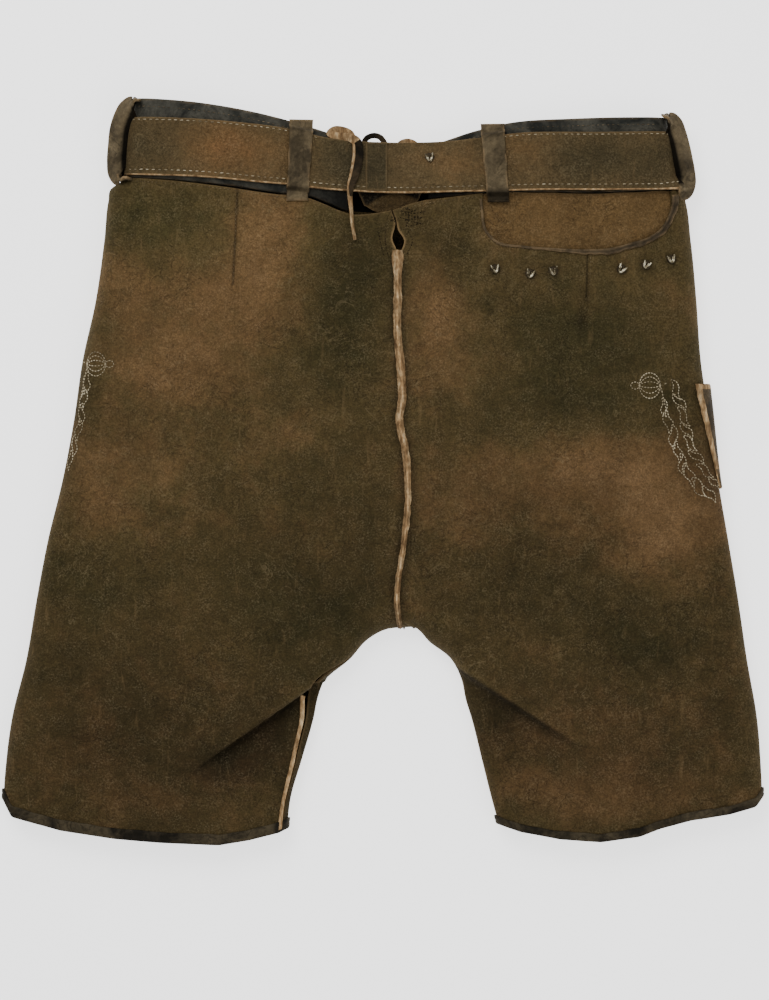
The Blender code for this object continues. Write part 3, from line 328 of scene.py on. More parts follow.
def rounded(corners, count):
    """Points of a rounded line through corners, spaced evenly by the straight lines between them."""
    along = chords(corners)
    fine = np.linspace(0, along[-1], count)
    return np.stack([smooth(fine, along, values) for values in corners.T], axis=1)


def resampled(path, places):
    """Points of a path at lengths along it."""
    length = chords(path)
    return np.stack([np.interp(places, length, values) for values in path.T], axis=1)


def line_points(line, fractions):
    """Points of a rounded line through a table of x and y, at fractions of its length."""
    corners = plan_of(line["x"], line["y"])
    dense = rounded(corners, 40 * len(corners))
    return resampled(dense, np.array(fractions) * chords(dense)[-1])


def line_height(line, x):
    """The y of a waist line at x."""
    return smooth(x, line["x"], line["y"])


def line_distance(x, y, line):
    """How far points lie from a line of points."""
    points = plan_of(x, y)[..., None, :]
    step = np.diff(line, axis=0)
    t = np.clip(((points - line[:-1]) * step).sum(-1) / (step**2).sum(-1), 0, 1)
    return np.linalg.norm(line[:-1] + t[..., None] * step - points, axis=-1).min(-1)


INNER_EDGE = np.concatenate([
    line_points(INNER_LEFT, np.linspace(1, 0, 40)),
    line_points(INNER_RIGHT, np.linspace(0.02, 1, 40)),
])


def side_left(y):
    return smooth(y, SIDES["along"], SIDES["left"])


def side_right(y):
    return smooth(y, SIDES["along"], SIDES["right"])


WAIST_SIDES = (side_left(220 * MM), side_right(220 * MM))


def hem_height(line, x):
    """The y of a leg's lower edge at x."""
    order = np.argsort(line["x"])
    return np.interp(x, line["x"][order], line["y"][order])


def lift(x, y):
    """How far the lower face stands over the surface: over the belt, its buckle and the hem bindings."""
    waist = ease((y - line_height(FRONT_SEAM, x) + 34 * MM) / (28 * MM))
    buckle = BUCKLE_LIFT * ease((76 * MM - abs(x - FRONT_CENTRE)) / (46 * MM))
    hem = np.where(x < FRONT_CENTRE, hem_height(HEM_LEFT, x), hem_height(HEM_RIGHT, x))
    return waist * (WAIST_LIFT + buckle) + HEM_LIFT * ease((hem + 30 * MM - y) / (20 * MM))


def rolled_away(x):
    """1 at the middle of the back, where the waist sinks towards its top edge, and 0 away from it."""
    return ease((96 * MM - abs(x - 8 * MM)) / (70 * MM))


def belt_reach(x):
    """Half of the belt's width in plan on the back."""
    return BELT_WIDTH / 2 * (1 - BELT_FORESHORTENED * rolled_away(x))


def from_edges(x, y):
    """How far plan points lie in from the sides and from the inner legs."""
    return np.minimum(x - side_left(y), side_right(y) - x), line_distance(x, y, INNER_EDGE)


def upper(x, y):
    """Height of the upper face over a point of the plan, before it is creased and folded."""
    in_from_side, in_from_leg = from_edges(x, y)
    crown = ease(in_from_side / CROWN_WIDTH) * ease((in_from_leg + 40 * MM) / CROWN_WIDTH)
    side = smooth(y, LEVELS["along"], LEVELS["side"])
    middle = smooth(y, LEVELS["along"], LEVELS["middle"])
    away = WAIST_ROLL_AWAY * rolled_away(x) * ease((y - 186 * MM) / (46 * MM)) ** 1.3
    edge = lift(x, y) + EDGE_HALF_HEIGHT
    return edge + (side + (middle - side) * crown - away - edge) * roll(in_from_side) * roll(in_from_leg)


def lower(x, y):
    """Height of the lower face over a point of the plan, before it is creased."""
    in_from_side, in_from_leg = from_edges(x, y)
    return lift(x, y) + EDGE_HALF_HEIGHT * (1 - roll(in_from_side) * roll(in_from_leg))


def waves(x, y, seed, length, count=9):
    """A soft unevenness between about -1 and 1 whose waves have about this length."""
    draw = np.random.default_rng(seed)
    total = 0
    for turn, phase, scale in zip(
        draw.uniform(0, math.pi, count), draw.uniform(0, 2 * math.pi, count), draw.uniform(0.6, 1.6, count)
    ):
        along = x * math.cos(turn) + y * math.sin(turn)
        total = total + np.sin(along * 2 * math.pi * scale / length + phase)
    return total / math.sqrt(count)


def creased(x, y, creases):
    """How far the leather sinks in its creases."""
    sink = 0
    for x0, y0, x1, y1, depth, width, bow in zip(*creases.values()):
        length = math.hypot(x1 - x0, y1 - y0)
        ux, uy = (x1 - x0) / length, (y1 - y0) / length
        along = ((x - x0) * ux + (y - y0) * uy) / length
        beside = (x - x0) * -uy + (y - y0) * ux - bow * np.sin(math.pi * np.clip(along, 0, 1))
        ends = ease((along + 0.12) / 0.3) * (1 - ease((along - 0.82) / 0.3))
        sink = sink + depth * ends * bell(beside, width)
    return sink


def relief_up(x, y):
    """What creases and softness add to the upper face; nothing at its rims and under the belt."""
    in_from_side, in_from_leg = from_edges(x, y)
    below_belt = ease((line_height(BACK_SEAM, x) + 3 * MM - y) / (9 * MM))
    free = ease(in_from_side / (16 * MM)) * ease(in_from_leg / (13 * MM)) * below_belt
    soft = 0.55 * MM * waves(x, y, 3, 85 * MM) + 0.28 * MM * waves(x, y, 4, 34 * MM)
    return free * (soft - creased(x, y, CREASES_UP))


def relief_low(x, y):
    """What creases and softness add to the lower face, towards the inside only."""
    in_from_side, in_from_leg = from_edges(x, y)
    free = ease((in_from_side - 6 * MM) / (16 * MM)) * ease((in_from_leg - 6 * MM) / (13 * MM))
    clear = ease((line_height(FRONT_SEAM, x) - 20 * MM - y) / (16 * MM))
    clear = clear * ease((y - hem_height(HEM_LEFT, x) - 14 * MM) / (20 * MM))
    soft = 0.5 * MM + 0.35 * MM * waves(x, y, 7, 70 * MM) + 0.15 * MM * waves(x, y, 8, 30 * MM)
    return np.maximum(free * clear * (soft + creased(x, y, CREASES_LOW)), 0)


def fold_frames(x, y):
    """For each fold: how far points lie on its lower side, how strong it is, its numbers and its way."""
    for x0, y0, x1, y1, depth, width, reach, under in zip(*FOLDS.values()):
        length = math.hypot(x1 - x0, y1 - y0)
        across, down = (x1 - x0) / length, (y1 - y0) / length
        side = math.copysign(1, x1 - x0)
        along = ((x - x0) * across + (y - y0) * down) / length
        beside = side * ((x - x0) * down - (y - y0) * across)
        fade = (1 - ease((along - 0.5) / 0.5)) * ease((along + 0.25) / 0.2)
        yield beside, fade, (depth, width, reach, under), (side * down, -side * across)


def folded(points):
    """Points of the upper face, carried into the two folds below the crotch."""
    x, y = points[..., 0], points[..., 1]
    in_from_side, in_from_leg = from_edges(x, y)
    grip = roll(in_from_side) * roll(in_from_leg)
    moved = points.copy()
    for beside, fade, (depth, width, reach, under), way in fold_frames(x, y):
        turn = width * 0.5
        sink = depth * fade * ease((beside + 0.3 * turn) / (1.3 * turn))
        sink = sink * (1 - ease((beside - width) / reach))
        ridge = 0.16 * depth * fade * bell(beside + 1.3 * turn, 1.2 * turn)
        back = under * fade * ease(beside / turn) * (1 - ease((beside - turn) / (2.2 * under + turn)))
        moved[..., 2] += grip * (ridge - sink)
        moved[..., 0] -= grip * back * way[0]
        moved[..., 1] -= grip * back * way[1]
    return moved


def laid(points, up):
    """Points of the plain faces, creased and folded; up says which of them lie on the upper face."""
    x, y = points[..., 0], points[..., 1]
    rise = np.where(up, relief_up(x, y), relief_low(x, y))
    raised = points + np.stack([0 * rise, 0 * rise, rise], axis=-1)
    return np.where(up[..., None], folded(raised), raised)


def bare_top(x, y):
    """The upper face over plan points, before it is creased and folded."""
    return np.stack([x, y, upper(x, y)], axis=-1)


def all_laid(points):
    """Points of the plain upper face, creased and folded."""
    return laid(points, np.ones(points.shape[:-1], bool))


def on_top(x, y):
    """The finished upper face over plan points."""
    return all_laid(bare_top(x, y))


def on(face, plan):
    """The points of a face over plan points."""
    return np.concatenate([plan, face(plan[:, 0], plan[:, 1])[:, None]], axis=1)


def is_up(points):
    """Which points lie above the middle of the rolled sides."""
    return points[..., 2] - lift(points[..., 0], points[..., 1]) > EDGE_HALF_HEIGHT


def spread(start, end, count, near=NEAR_EDGE, fine=()):
    """Lengths along a path: close together at both ends and at the fine ones, and evenly spaced between."""
    first = start + np.array(near) * MM
    last = end - np.array(near[::-1]) * MM
    return np.sort(np.concatenate([first, np.linspace(first[-1], last[0], count + 2)[1:-1], last, fine]))


def rounded_steps(count):
    """Shares from 0 to 1 that lie closer together at both ends."""
    return (1 - np.cos(np.linspace(0, math.pi, count))) / 2


# Flat cuts of the leather pieces: width and length in metres, then the area in square metres.
BAND_BACK_CUT = ((0.165, 0.060), 0.0091)
BAND_FRONT_CUT = ((0.376, 0.050), 0.0179)


# Meshes ------------------------


def new_object(name, mesh):
    made = bpy.data.objects.new(name, mesh)
    bpy.context.scene.collection.objects.link(made)
    return made


def mesh_object(name, points, faces, edges=()):
    """A named object from arrays of points and faces, shaded smooth but for its sharp edges."""
    mesh = bpy.data.meshes.new(name)
    mesh.from_pydata(np.asarray(points, float).tolist(), list(edges), [list(map(int, f)) for f in faces])
    mesh.update()
    if len(faces):
        mesh.shade_smooth()
        mesh.set_sharp_from_angle(angle=SHARP_ANGLE)
    return new_object(name, mesh)


def paint(obj, **layers):
    """Float attributes of the vertices, by name."""
    for layer, values in layers.items():
        old = obj.data.attributes.get(layer)
        if old:
            obj.data.attributes.remove(old)
        made = obj.data.attributes.new(layer, "FLOAT", "POINT")
        made.data.foreach_set("value", np.broadcast_to(values, len(obj.data.vertices)).astype(np.float32))


def vertices_of(obj):
    flat = np.empty(len(obj.data.vertices) * 3)
    obj.data.vertices.foreach_get("co", flat)
    return flat.reshape(-1, 3)


def normals_of(points):
    """Unit normals of a grid of points, rows by columns."""
    return unit(np.cross(np.gradient(points, axis=1), np.gradient(points, axis=0)))


def facing(points):
    """+1 where the normals of a grid of points look up, -1 where they look down."""
    return 1 if normals_of(points)[..., 2].mean() > 0 else -1


def from_rim(points):
    """How far each point of a grid lies from the grid's nearest border."""
    distances = []
    for axis in (0, 1):
        steps = np.linalg.norm(np.diff(points, axis=axis), axis=-1)
        along = np.cumsum(steps, axis=axis)
        first = np.concatenate([np.zeros_like(np.take(along, [0], axis)), along], axis)
        distances += [first, np.take(first, [-1], axis) - first]
    return np.min(distances, axis=0)


def shell(name, points, low, high, soft=0.6 * MM, outwards=None, gone=None):
    """A closed thin wall between two offsets of a grid of points; its outer rim is rounded by soft.

    outwards is +1 or -1 where the side that the grid's normals point to is known; gone marks quads left out.
    """
    normals = normals_of(points)
    if outwards is None:
        outwards = 1 if ((points[..., 2] - MIDDLE_HEIGHT) * normals[..., 2]).sum() > 0 else -1
    normals = normals * outwards
    rows, columns = points.shape[:2]
    rim = from_rim(points)
    turned = soft * (1 - np.sqrt(1 - (1 - np.clip(rim / soft, 0, 1)) ** 2))
    high = np.broadcast_to(high, (rows, columns)) - turned
    low = np.broadcast_to(low, (rows, columns)) + np.minimum(turned, 0.3 * soft)
    index = np.arange(rows * columns).reshape(rows, columns)
    under = rows * columns
    skins = np.concatenate([(points + normals * side[..., None]).reshape(-1, 3) for side in (high, low)])
    quads = np.stack([index[:-1, :-1], index[:-1, 1:], index[1:, 1:], index[1:, :-1]], axis=-1).reshape(-1, 4)
    if gone is not None:
        quads = quads[~gone.ravel()]
    start, after = quads.ravel(), np.roll(quads, -1, axis=1).ravel()
    border = ~np.isin(start * under + after, after * under + start)
    start, after = start[border], after[border]
    walls = np.stack([start, start + under, after + under, after], axis=-1)
    if outwards > 0:
        faces = np.concatenate([quads, quads[:, ::-1] + under, walls])
    else:
        faces = np.concatenate([quads[:, ::-1], quads + under, walls[:, ::-1]])
    used, corners = np.unique(faces, return_inverse=True)
    made = mesh_object(name, skins[used], corners.reshape(faces.shape))
    edge = np.tile(1 - np.clip(rim.ravel() / (1.6 * MM), 0, 1), 2)
    paint(made, edge=edge[used], warm=0, shade=1)
    return made


def swept(name, sections, closed=False):
    """A closed solid through sections of equal point counts, each given as points in space."""
    sections = np.asarray(sections)
    steps, count = sections.shape[:2]
    index = np.arange(steps * count).reshape(steps, count)
    ahead = np.roll(index, -1, axis=0)[: steps if closed else steps - 1]
    here = index[: len(ahead)]
    quads = np.stack([here, np.roll(here, -1, 1), np.roll(ahead, -1, 1), ahead], axis=-1).reshape(-1, 4)
    faces = quads.tolist()
    if not closed:
        faces += [index[0, ::-1].tolist(), index[-1].tolist()]
    made = mesh_object(name, sections.reshape(-1, 3), faces)
    turn_outwards(made)
    paint(made, edge=0, warm=0, shade=1)
    return made


def turn_outwards(obj):
    """Faces of a closed mesh turned so that it holds a positive volume."""
    mesh = obj.data
    mesh.calc_loop_triangles()
    corners = np.empty(len(mesh.loop_triangles) * 3, int)
    mesh.loop_triangles.foreach_get("vertices", corners)
    triangles = vertices_of(obj)[corners.reshape(-1, 3)]
    if np.einsum("ij,ij->i", triangles[:, 0], np.cross(triangles[:, 1], triangles[:, 2])).sum() < 0:
        mesh.flip_normals()


def patch_points(plan):
    """The finished upper face over a grid of plan points."""
    return on_top(plan[..., 0], plan[..., 1])


def ribbon_plan(line, width):
    """A plan grid along a line; width holds its extent to each side at each point."""
    ahead = unit(np.gradient(line, axis=0))
    beside = np.stack([-ahead[:, 1], ahead[:, 0]], axis=1)
    return np.stack([line + beside * side[:, None] for side in np.asarray(width).T])


def dressed(obj, *materials):
    """obj with these materials added."""
    for material in materials:
        obj.data.materials.append(material)
    return obj


def belongs(obj, *nodes):
    """obj rides on the body and stands for these nodes of the solid model."""
    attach(obj, BODY)
    if nodes:
        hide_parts(*nodes)
    return obj


# Materials ---------------------


def linear(colour):
    """A colour in sRGB from 0 to 255 as linear RGBA."""
    shares = np.array(colour, float) / 255
    values = np.where(shares <= 0.04045, shares / 12.92, ((shares + 0.055) / 1.055) ** 2.4)
    return (*values.tolist(), 1.0)


FINISHED = "finished_"


class Shader:
    """A material's node tree, built from small pieces on object coordinates."""

    def __init__(self, name):
        self.material = bpy.data.materials.new(FINISHED + name)
        self.material.use_nodes = True
        self.tree = self.material.node_tree
        self.surface = self.tree.nodes["Principled BSDF"]
        self.place = self.node("ShaderNodeTexCoord", {}).outputs["Object"]

    def feed(self, node, inputs):
        """Link or set a node's inputs; keys are labels or numbers, values are outputs or plain values."""
        for key, value in inputs.items():
            if isinstance(value, bpy.types.NodeSocket):
                self.tree.links.new(value, node.inputs[key])
            else:
                node.inputs[key].default_value = value

    def node(self, kind, inputs, **settings):
        made = self.tree.nodes.new(kind)
        for key, value in settings.items():
            setattr(made, key, value)
        self.feed(made, inputs)
        return made

    def math(self, operation, first, second=0.0, third=0.0, clamp=False):
        values = {0: first, 1: second, 2: third}
        return self.node("ShaderNodeMath", values, operation=operation, use_clamp=clamp).outputs[0]

    def times(self, first, second):
        return self.math("MULTIPLY", first, second)

    def layer(self, name):
        return self.node("ShaderNodeAttribute", {}, attribute_name=name).outputs["Fac"]

    def noise(self, scale, detail=3.0, roughness=0.55, stretch=None, distortion=0.0):
        place = self.place
        if stretch:
            place = self.node("ShaderNodeMapping", {"Vector": place, "Scale": stretch}).outputs[0]
        return self.node("ShaderNodeTexNoise", {
            "Vector": place, "Scale": scale, "Detail": detail, "Roughness": roughness,
            "Distortion": distortion,
        }).outputs["Fac"]

    def wrinkles(self, scale, distortion, width=0.02):
        """Thin winding lines, 1 on a line, broken up so that they come and go."""
        winding = self.noise(scale, 3, 0.5, distortion=distortion)
        off = self.math("ABSOLUTE", self.math("SUBTRACT", winding, 0.5))
        here = self.ranged(self.noise(scale * 0.45, 2, 0.5), 0.47, 0.6)
        return self.times(self.ranged(off, 0.0, width, 1.0, 0.0), here)

    def ranged(self, value, low, high, to_low=0.0, to_high=1.0):
        values = {0: value, 1: low, 2: high, 3: to_low, 4: to_high}
        return self.node("ShaderNodeMapRange", values).outputs[0]

    def ramp(self, value, stops):
        """stops are (position, sRGB colour)."""
        made = self.node("ShaderNodeValToRGB", {0: value})
        elements = made.color_ramp.elements
        while len(elements) < len(stops):
            elements.new(0.5)
        for element, (position, colour) in zip(elements, stops):
            element.position = position
            element.color = linear(colour)
        return made.outputs[0]

    def mix(self, share, first, second, blend="MIX"):
        values = {0: share, 6: first, 7: second}
        return self.node("ShaderNodeMix", values, data_type="RGBA", blend_type=blend).outputs[2]

    def dimmed(self, colour, amount):
        """A colour times a grey amount."""
        grey = self.node("ShaderNodeCombineXYZ", {0: amount, 1: amount, 2: amount})
        return self.mix(1.0, colour, grey.outputs[0], "MULTIPLY")

    def bump(self, height, distance, strength=1.0, before=None):
        values = {"Strength": strength, "Distance": distance, "Height": height}
        if before:
            values["Normal"] = before
        return self.node("ShaderNodeBump", values).outputs[0]

    def done(self, colour, roughness, normal=None, metallic=0.0, specular=0.5, sheen=0.0):
        values = {
            "Base Color": colour, "Roughness": roughness, "Metallic": metallic,
            "Specular IOR Level": specular, "Sheen Weight": sheen, "Sheen Roughness": 0.5,
            "Sheen Tint": linear((200, 170, 120)),
        }
        if normal:
            values["Normal"] = normal
        self.feed(self.surface, values)
        return self.material


def once(builder):
    """A material that is built on its first use, under its function's name."""
    def wrapped():
        name = builder.__name__
        return bpy.data.materials.get(FINISHED + name) or builder(name)
    return wrapped


def nubuck(name, stops, patchiness=1.0, grain=1.0):
    """Napped leather: patches from olive to reddish brown, fine grain, light scratches and a soft nap."""
    s = Shader(name)
    broad = s.ranged(s.noise(13, 3, 0.6, distortion=0.5), 0.32, 0.68, -0.5, 0.5)
    small = s.ranged(s.noise(58, 4, 0.65), 0.28, 0.72, -0.5, 0.5)
    tone = s.math("MULTIPLY_ADD", broad, 0.22 * patchiness, 0.5)
    tone = s.math("MULTIPLY_ADD", small, 0.2 * patchiness, tone)
    tone = s.math("MULTIPLY_ADD", s.layer("warm"), 0.7, tone, clamp=True)
    colour = s.ramp(tone, stops)
    fibre = s.noise(820, 3, 0.75)
    pebble = s.noise(330, 3, 0.7)
    fine = s.ranged(fibre, 0.3, 0.7, 1 - 0.4 * grain, 1 + 0.4 * grain)
    specks = s.ranged(pebble, 0.28, 0.72, 1 - 0.2 * grain, 1 + 0.2 * grain)
    cloudy = s.ranged(s.noise(36, 5, 0.65), 0.3, 0.7, 0.86, 1.14)
    light = s.times(s.times(fine, specks), s.times(cloudy, s.layer("shade")))
    colour = s.dimmed(colour, light)
    dust = s.times(s.ranged(fibre, 0.5, 0.72, 0.0, 0.26), s.ranged(s.noise(95, 3, 0.6), 0.4, 0.65))
    colour = s.mix(dust, colour, linear((136, 124, 98)))
    hairs = s.ranged(s.noise(260, 2, 0.6, stretch=(1.0, 0.14, 1.0), distortion=0.4), 0.62, 0.8, 0.0, 0.18)
    worn = s.math("MULTIPLY_ADD", s.layer("edge"), 0.3, hairs, clamp=True)
    colour = s.mix(worn, colour, linear((132, 108, 74)))
    lines = [s.wrinkles(62, 1.4), s.wrinkles(27, 0.9)]
    for line, depth in zip(lines, (0.17, 0.15)):
        colour = s.dimmed(colour, s.math("MULTIPLY_ADD", line, -depth, 1.0))
    scuffs = s.times(s.wrinkles(44, 2.2, 0.012), 0.16)
    colour = s.mix(scuffs, colour, linear((150, 132, 98)))
    nap = s.bump(pebble, 0.0006, 0.7, s.bump(s.noise(120, 5, 0.7), 0.0011, 0.6))
    nap = s.bump(s.times(lines[0], -1.0), 0.0006, 0.7, nap)
    nap = s.bump(fibre, 0.0002, 0.6, nap)
    return s.done(colour, 0.92, nap, specular=0.12, sheen=0.06)


BROWN_STOPS = (
    (0.0, (37, 35, 18)), (0.26, (53, 47, 26)), (0.5, (71, 59, 35)), (0.72, (92, 71, 45)),
    (1.0, (111, 86, 58)),
)
BELT_STOPS = (
    (0.0, (46, 42, 29)), (0.3, (64, 55, 36)), (0.55, (80, 66, 43)), (0.8, (96, 73, 46)), (1.0, (114, 83, 53)),
)
POCKET_STOPS = (
    (0.0, (54, 46, 27)), (0.35, (76, 60, 36)), (0.6, (90, 70, 43)), (0.8, (102, 78, 49)),
    (1.0, (120, 92, 60)),
)


@once
def panel_nubuck(name):
    return nubuck(name, BROWN_STOPS)


@once
def belt_nubuck(name):
    return nubuck(name, BELT_STOPS, patchiness=0.8)


@once
def pocket_nubuck(name):
    return nubuck(name, POCKET_STOPS, patchiness=0.7)


def smooth_leather(name, dark, light, roughness, wear):
    """Worn smooth leather: dark, with cracks, scuffs and a paler rim where it is rubbed."""
    s = Shader(name)
    broad = s.ranged(s.noise(34, 5, 0.65, distortion=0.8), 0.4, 0.6)
    colour = s.mix(broad, linear(dark), linear(light))
    cracks = s.noise(420, 5, 0.75)
    patches_and_shade = s.ranged(s.noise(130, 4, 0.7), 0.36, 0.64, 0.84, 1.14)
    # The shade attribute brings each piece's painted shade into the patches and into the rubbed rim.
    patches_and_shade = s.times(patches_and_shade, s.layer("shade"))
    colour = s.dimmed(colour, s.times(s.ranged(cracks, 0.36, 0.64, 0.78, 1.22), patches_and_shade))
    wrinkled = s.wrinkles(75, 1.2, 0.03)
    colour = s.dimmed(colour, s.math("MULTIPLY_ADD", wrinkled, -0.45, 1.0))
    rubbed = s.times(s.layer("edge"), s.ranged(s.noise(150, 3), 0.4, 0.6, 0.05, wear))
    rubbed = s.times(rubbed, s.layer("shade"))
    colour = s.mix(rubbed, colour, linear((136, 112, 80)))
    rough = s.ranged(s.noise(90, 3), 0.3, 0.7, roughness - 0.08, roughness + 0.12)
    uneven = s.bump(cracks, 0.0004, 0.7, s.bump(s.noise(60, 4, 0.7), 0.001, 0.6))
    return s.done(colour, rough, uneven, specular=0.07)


@once
def waistband_leather(name):
    return smooth_leather(name, (34, 35, 32), (70, 68, 60), 0.66, 0.4)


@once
def loop_leather(name):
    return smooth_leather(name, (60, 52, 38), (96, 84, 63), 0.72, 0.7)


@once
def binding_leather(name):
    return smooth_leather(name, (27, 24, 18), (68, 60, 45), 0.65, 0.45)


@once
def dark_leather(name):
    return smooth_leather(name, (28, 24, 16), (62, 51, 36), 0.75, 0.6)


@once
def edge_leather(name):
    return smooth_leather(name, (56, 48, 36), (88, 75, 56), 0.75, 0.5)


@once
def raw_leather(name):
    """Raw tan edge: streaks, dark grime and frayed light fibres."""
    s = Shader(name)
    streak = s.noise(300, 4, 0.7, stretch=(1.0, 0.3, 1.0))
    colour = s.ramp(streak, (
        (0.33, (110, 84, 56)), (0.45, (146, 116, 80)), (0.55, (174, 143, 103)), (0.67, (212, 184, 142)),
    ))
    grime = s.ranged(s.noise(110, 4, 0.7), 0.38, 0.6, 0.66, 1.15)
    # Besides the grime, the shade attribute brings in each piece's painted highlight and shade.
    colour = s.dimmed(colour, s.times(grime, s.layer("shade")))
    return s.done(colour, 0.85, s.bump(s.noise(700, 4, 0.7), 0.0003, 0.8), specular=0.12)


def twisted_thread(name, stops, roughness, specular):
    """Twisted sewing thread; stops are the colours that it runs through."""
    s = Shader(name)
    colour = s.ramp(s.noise(70, 3, 0.6), stops)
    return s.done(colour, roughness, s.bump(s.noise(1500, 2), 0.0001, 0.5), specular=specular)


@once
def pale_thread(name):
    stops = ((0.34, (108, 97, 75)), (0.5, (154, 141, 114)), (0.66, (200, 188, 160)))
    return twisted_thread(name, stops, 0.8, 0.3)


@once
def dull_thread(name):
    stops = ((0.3, (62, 52, 36)), (0.5, (92, 78, 56)), (0.72, (132, 116, 88)))
    return twisted_thread(name, stops, 0.85, 0.25)


@once
def dark_thread(name):
    stops = ((0.3, (20, 16, 11)), (0.5, (34, 28, 19)), (0.7, (64, 53, 37)))
    return twisted_thread(name, stops, 0.9, 0.1)


@once
def old_nickel(name):
    """Dull nickel with dark tarnish in its hollows."""
    s = Shader(name)
    tarnish = s.noise(300, 4, 0.7)
    colour = s.ramp(tarnish, ((0.38, (60, 52, 38)), (0.48, (132, 122, 98)), (0.6, (214, 205, 180))))
    rough = s.ranged(tarnish, 0.3, 0.7, 0.55, 0.38)
    return s.done(colour, rough, s.bump(tarnish, 0.0001, 0.5), metallic=1.0)


@once
def pale_floor(name):
    s = Shader(name)
    s.surface.inputs["Emission Color"].default_value = (1, 1, 1, 1)
    s.surface.inputs["Emission Strength"].default_value = 1.6
    return s.done(linear((250, 250, 250)), 0.95, specular=0.1)


# Colour, painted shade and highlights by place ---------------

# Patches of the upper face in millimetres: x, y, half sizes and strength; + is warmer, - is more olive.
WARMTH = np.array((
    (-150, 97, 45, 65, 0.29), (-174, 110, 18, 18, 0.2), (-123, 97, 30, 30, 0.1), (-82, 138, 30, 50, 0.42),
    (39, 117, 25, 45, 0.35), (205, 110, 22, 22, 0.25), (150, 0, 70, 22, 0.3), (212, -35, 30, 30, 0.25),
    (177, -35, 40, 40, 0.3), (46, -20, 30, 45, 0.2), (150, -172, 30, 25, 0.2), (155, -225, 60, 16, 0.3),
    (95, -214, 20, 14, 0.25), (-67, 24, 35, 25, 0.25), (-78, -35, 40, 30, 0.2), (-188, -7, 30, 40, 0.2),
    (-140, -228, 50, 15, 0.15), (-172, 172, 35, 28, -0.35), (-126, 172, 30, 25, -0.2),
    (-20, 130, 35, 40, -0.4), (-35, 70, 35, 35, -0.3), (-143, 35, 60, 18, -0.2), (-60, -10, 45, 25, -0.2),
    (-195, -65, 50, 30, -0.25), (-60, -90, 50, 35, -0.35), (150, 93, 60, 40, -0.35),
    (130, 45, 60, 25, -0.3), (100, -85, 60, 35, -0.3), (190, -115, 40, 28, -0.35), (52, 145, 14, 30, -0.3),
))
BELT_WARMTH = np.array((
    (-106, 221, 34, 18, 0.5), (-160, 220, 20, 18, -0.25), (60, 212, 25, 16, 0.2), (25, 208, 20, 18, 0.15),
    (100, 214, 18, 16, 0.2), (143, 214, 34, 16, -0.5), (185, 216, 18, 14, -0.2), (-40, 212, 18, 16, -0.2),
    (-20, 210, 12, 18, -0.4),
))
DARKNESS = np.array((
    # x, y, half sizes and share of the light that is lost
    (-20, 140, 26, 30, 0.16), (36, 150, 12, 24, 0.16), (-170, -190, 120, 80, 0.43),
    (170, -190, 110, 80, 0.36), (-145, 168, 55, 32, -0.36), (-60, 165, 35, 30, -0.16),
    (170, 150, 45, 30, -0.12), (78, -172, 20, 22, 0.3), (-40, -60, 60, 45, 0.22), (110, -50, 90, 60, 0.23),
    (232, -60, 16, 110, 0.15), (-225, -20, 12, 110, 0.12), (137, 101, 4, 9, 0.45), (230, 10, 10, 36, 0.25),
    (-108, -205, 22, 12, 0.45), (-74, -184, 20, 26, 0.3),
))
DART_LINES = np.array(((-99.7, 200, -103.2, 128), (140.8, 160, 139.8, 116))) * MM


def patches(x, y, blobs):
    """The sum of soft patches at points of the plan."""
    total = 0
    for px, py, rx, ry, amount in blobs * (MM, MM, MM, MM, 1):
        total = total + amount * np.exp(-(((x - px) / rx) ** 2 + ((y - py) / ry) ** 2))
    return total


def shadows(x, y):
    """The share of light painted onto the upper face: shade of the patches, shadow below the folds and a
    highlight on their edges, shade in the darts and beside the centre welt; darker round the claws and the
    embroidery.
    """
    light = 1 - np.minimum(patches(x, y, DARKNESS), 0.6)
    for beside, fade, _, _ in fold_frames(x, y):
        below = np.maximum(beside, 0)
        lost = 0.58 * np.exp(-below / (5 * MM)) + 0.34 * np.exp(-below / (26 * MM))
        # gained is a painted highlight along the fold's edge; lost is the painted shadow below it.
        gained = 0.22 * bell(beside + 1.5 * MM, 3 * MM)
        under = ease(beside / (2.4 * MM) + 0.4)
        light = light * (1 - (lost * under - gained * (1 - under)) * np.clip(fade, 0, 1))
    # Painted shade along the dart seams.
    for x0, y0, x1, y1 in DART_LINES:
        line = np.array(((x0, y0), (x1, y1)))
        light = light * (1 - 0.5 * bell(line_distance(x, y, line), 0.8 * MM))
    seam = line_points(CENTRE_BACK, np.linspace(0.13, 0.97, 60))
    # Painted shade on both sides of the centre back welt.
    light = light * (1 - 0.42 * bell(line_distance(x, y, seam) - 3 * MM, 3 * MM))
    marks = [(px, py, 4.2, 0.6) for px, py, *_ in CLAWS[1:]]
    marks += [(px, py, 9, 0.14) for px, py, *_ in LEFT_LEAVES + RIGHT_LEAVES]
    for px, py, reach, lost in marks:
        away = (x - px * MM) ** 2 + (y - py * MM) ** 2
        light = light * (1 - lost * np.exp(-away / (reach * MM) ** 2))
    return light


def tint(obj, warm=0.0, shade=1.0, by_place=False, blobs=None):
    """Colour attributes of a leather piece; by_place adds the panels' colour patches and the painted shadows
    and highlights of their folds and other places.
    """
    points = vertices_of(obj)
    x, y = points[:, 0], points[:, 1]
    warmth = np.full(len(points), float(warm))
    light = np.full(len(points), float(shade))
    up = is_up(points)
    if blobs is not None:
        warmth = warmth + np.where(up, patches(x, y, blobs), 0)
    if by_place:
        warmth = warmth + np.where(up, patches(x, y, WARMTH), 0.35 * waves(x, y, 21, 90 * MM))
        # Painted shade and highlights on the upper face; the lower face is a little darker.
        light = light * np.where(up, shadows(x, y), 0.92)
    paint(obj, warm=warmth, shade=light)


# Plans and grids ---------------

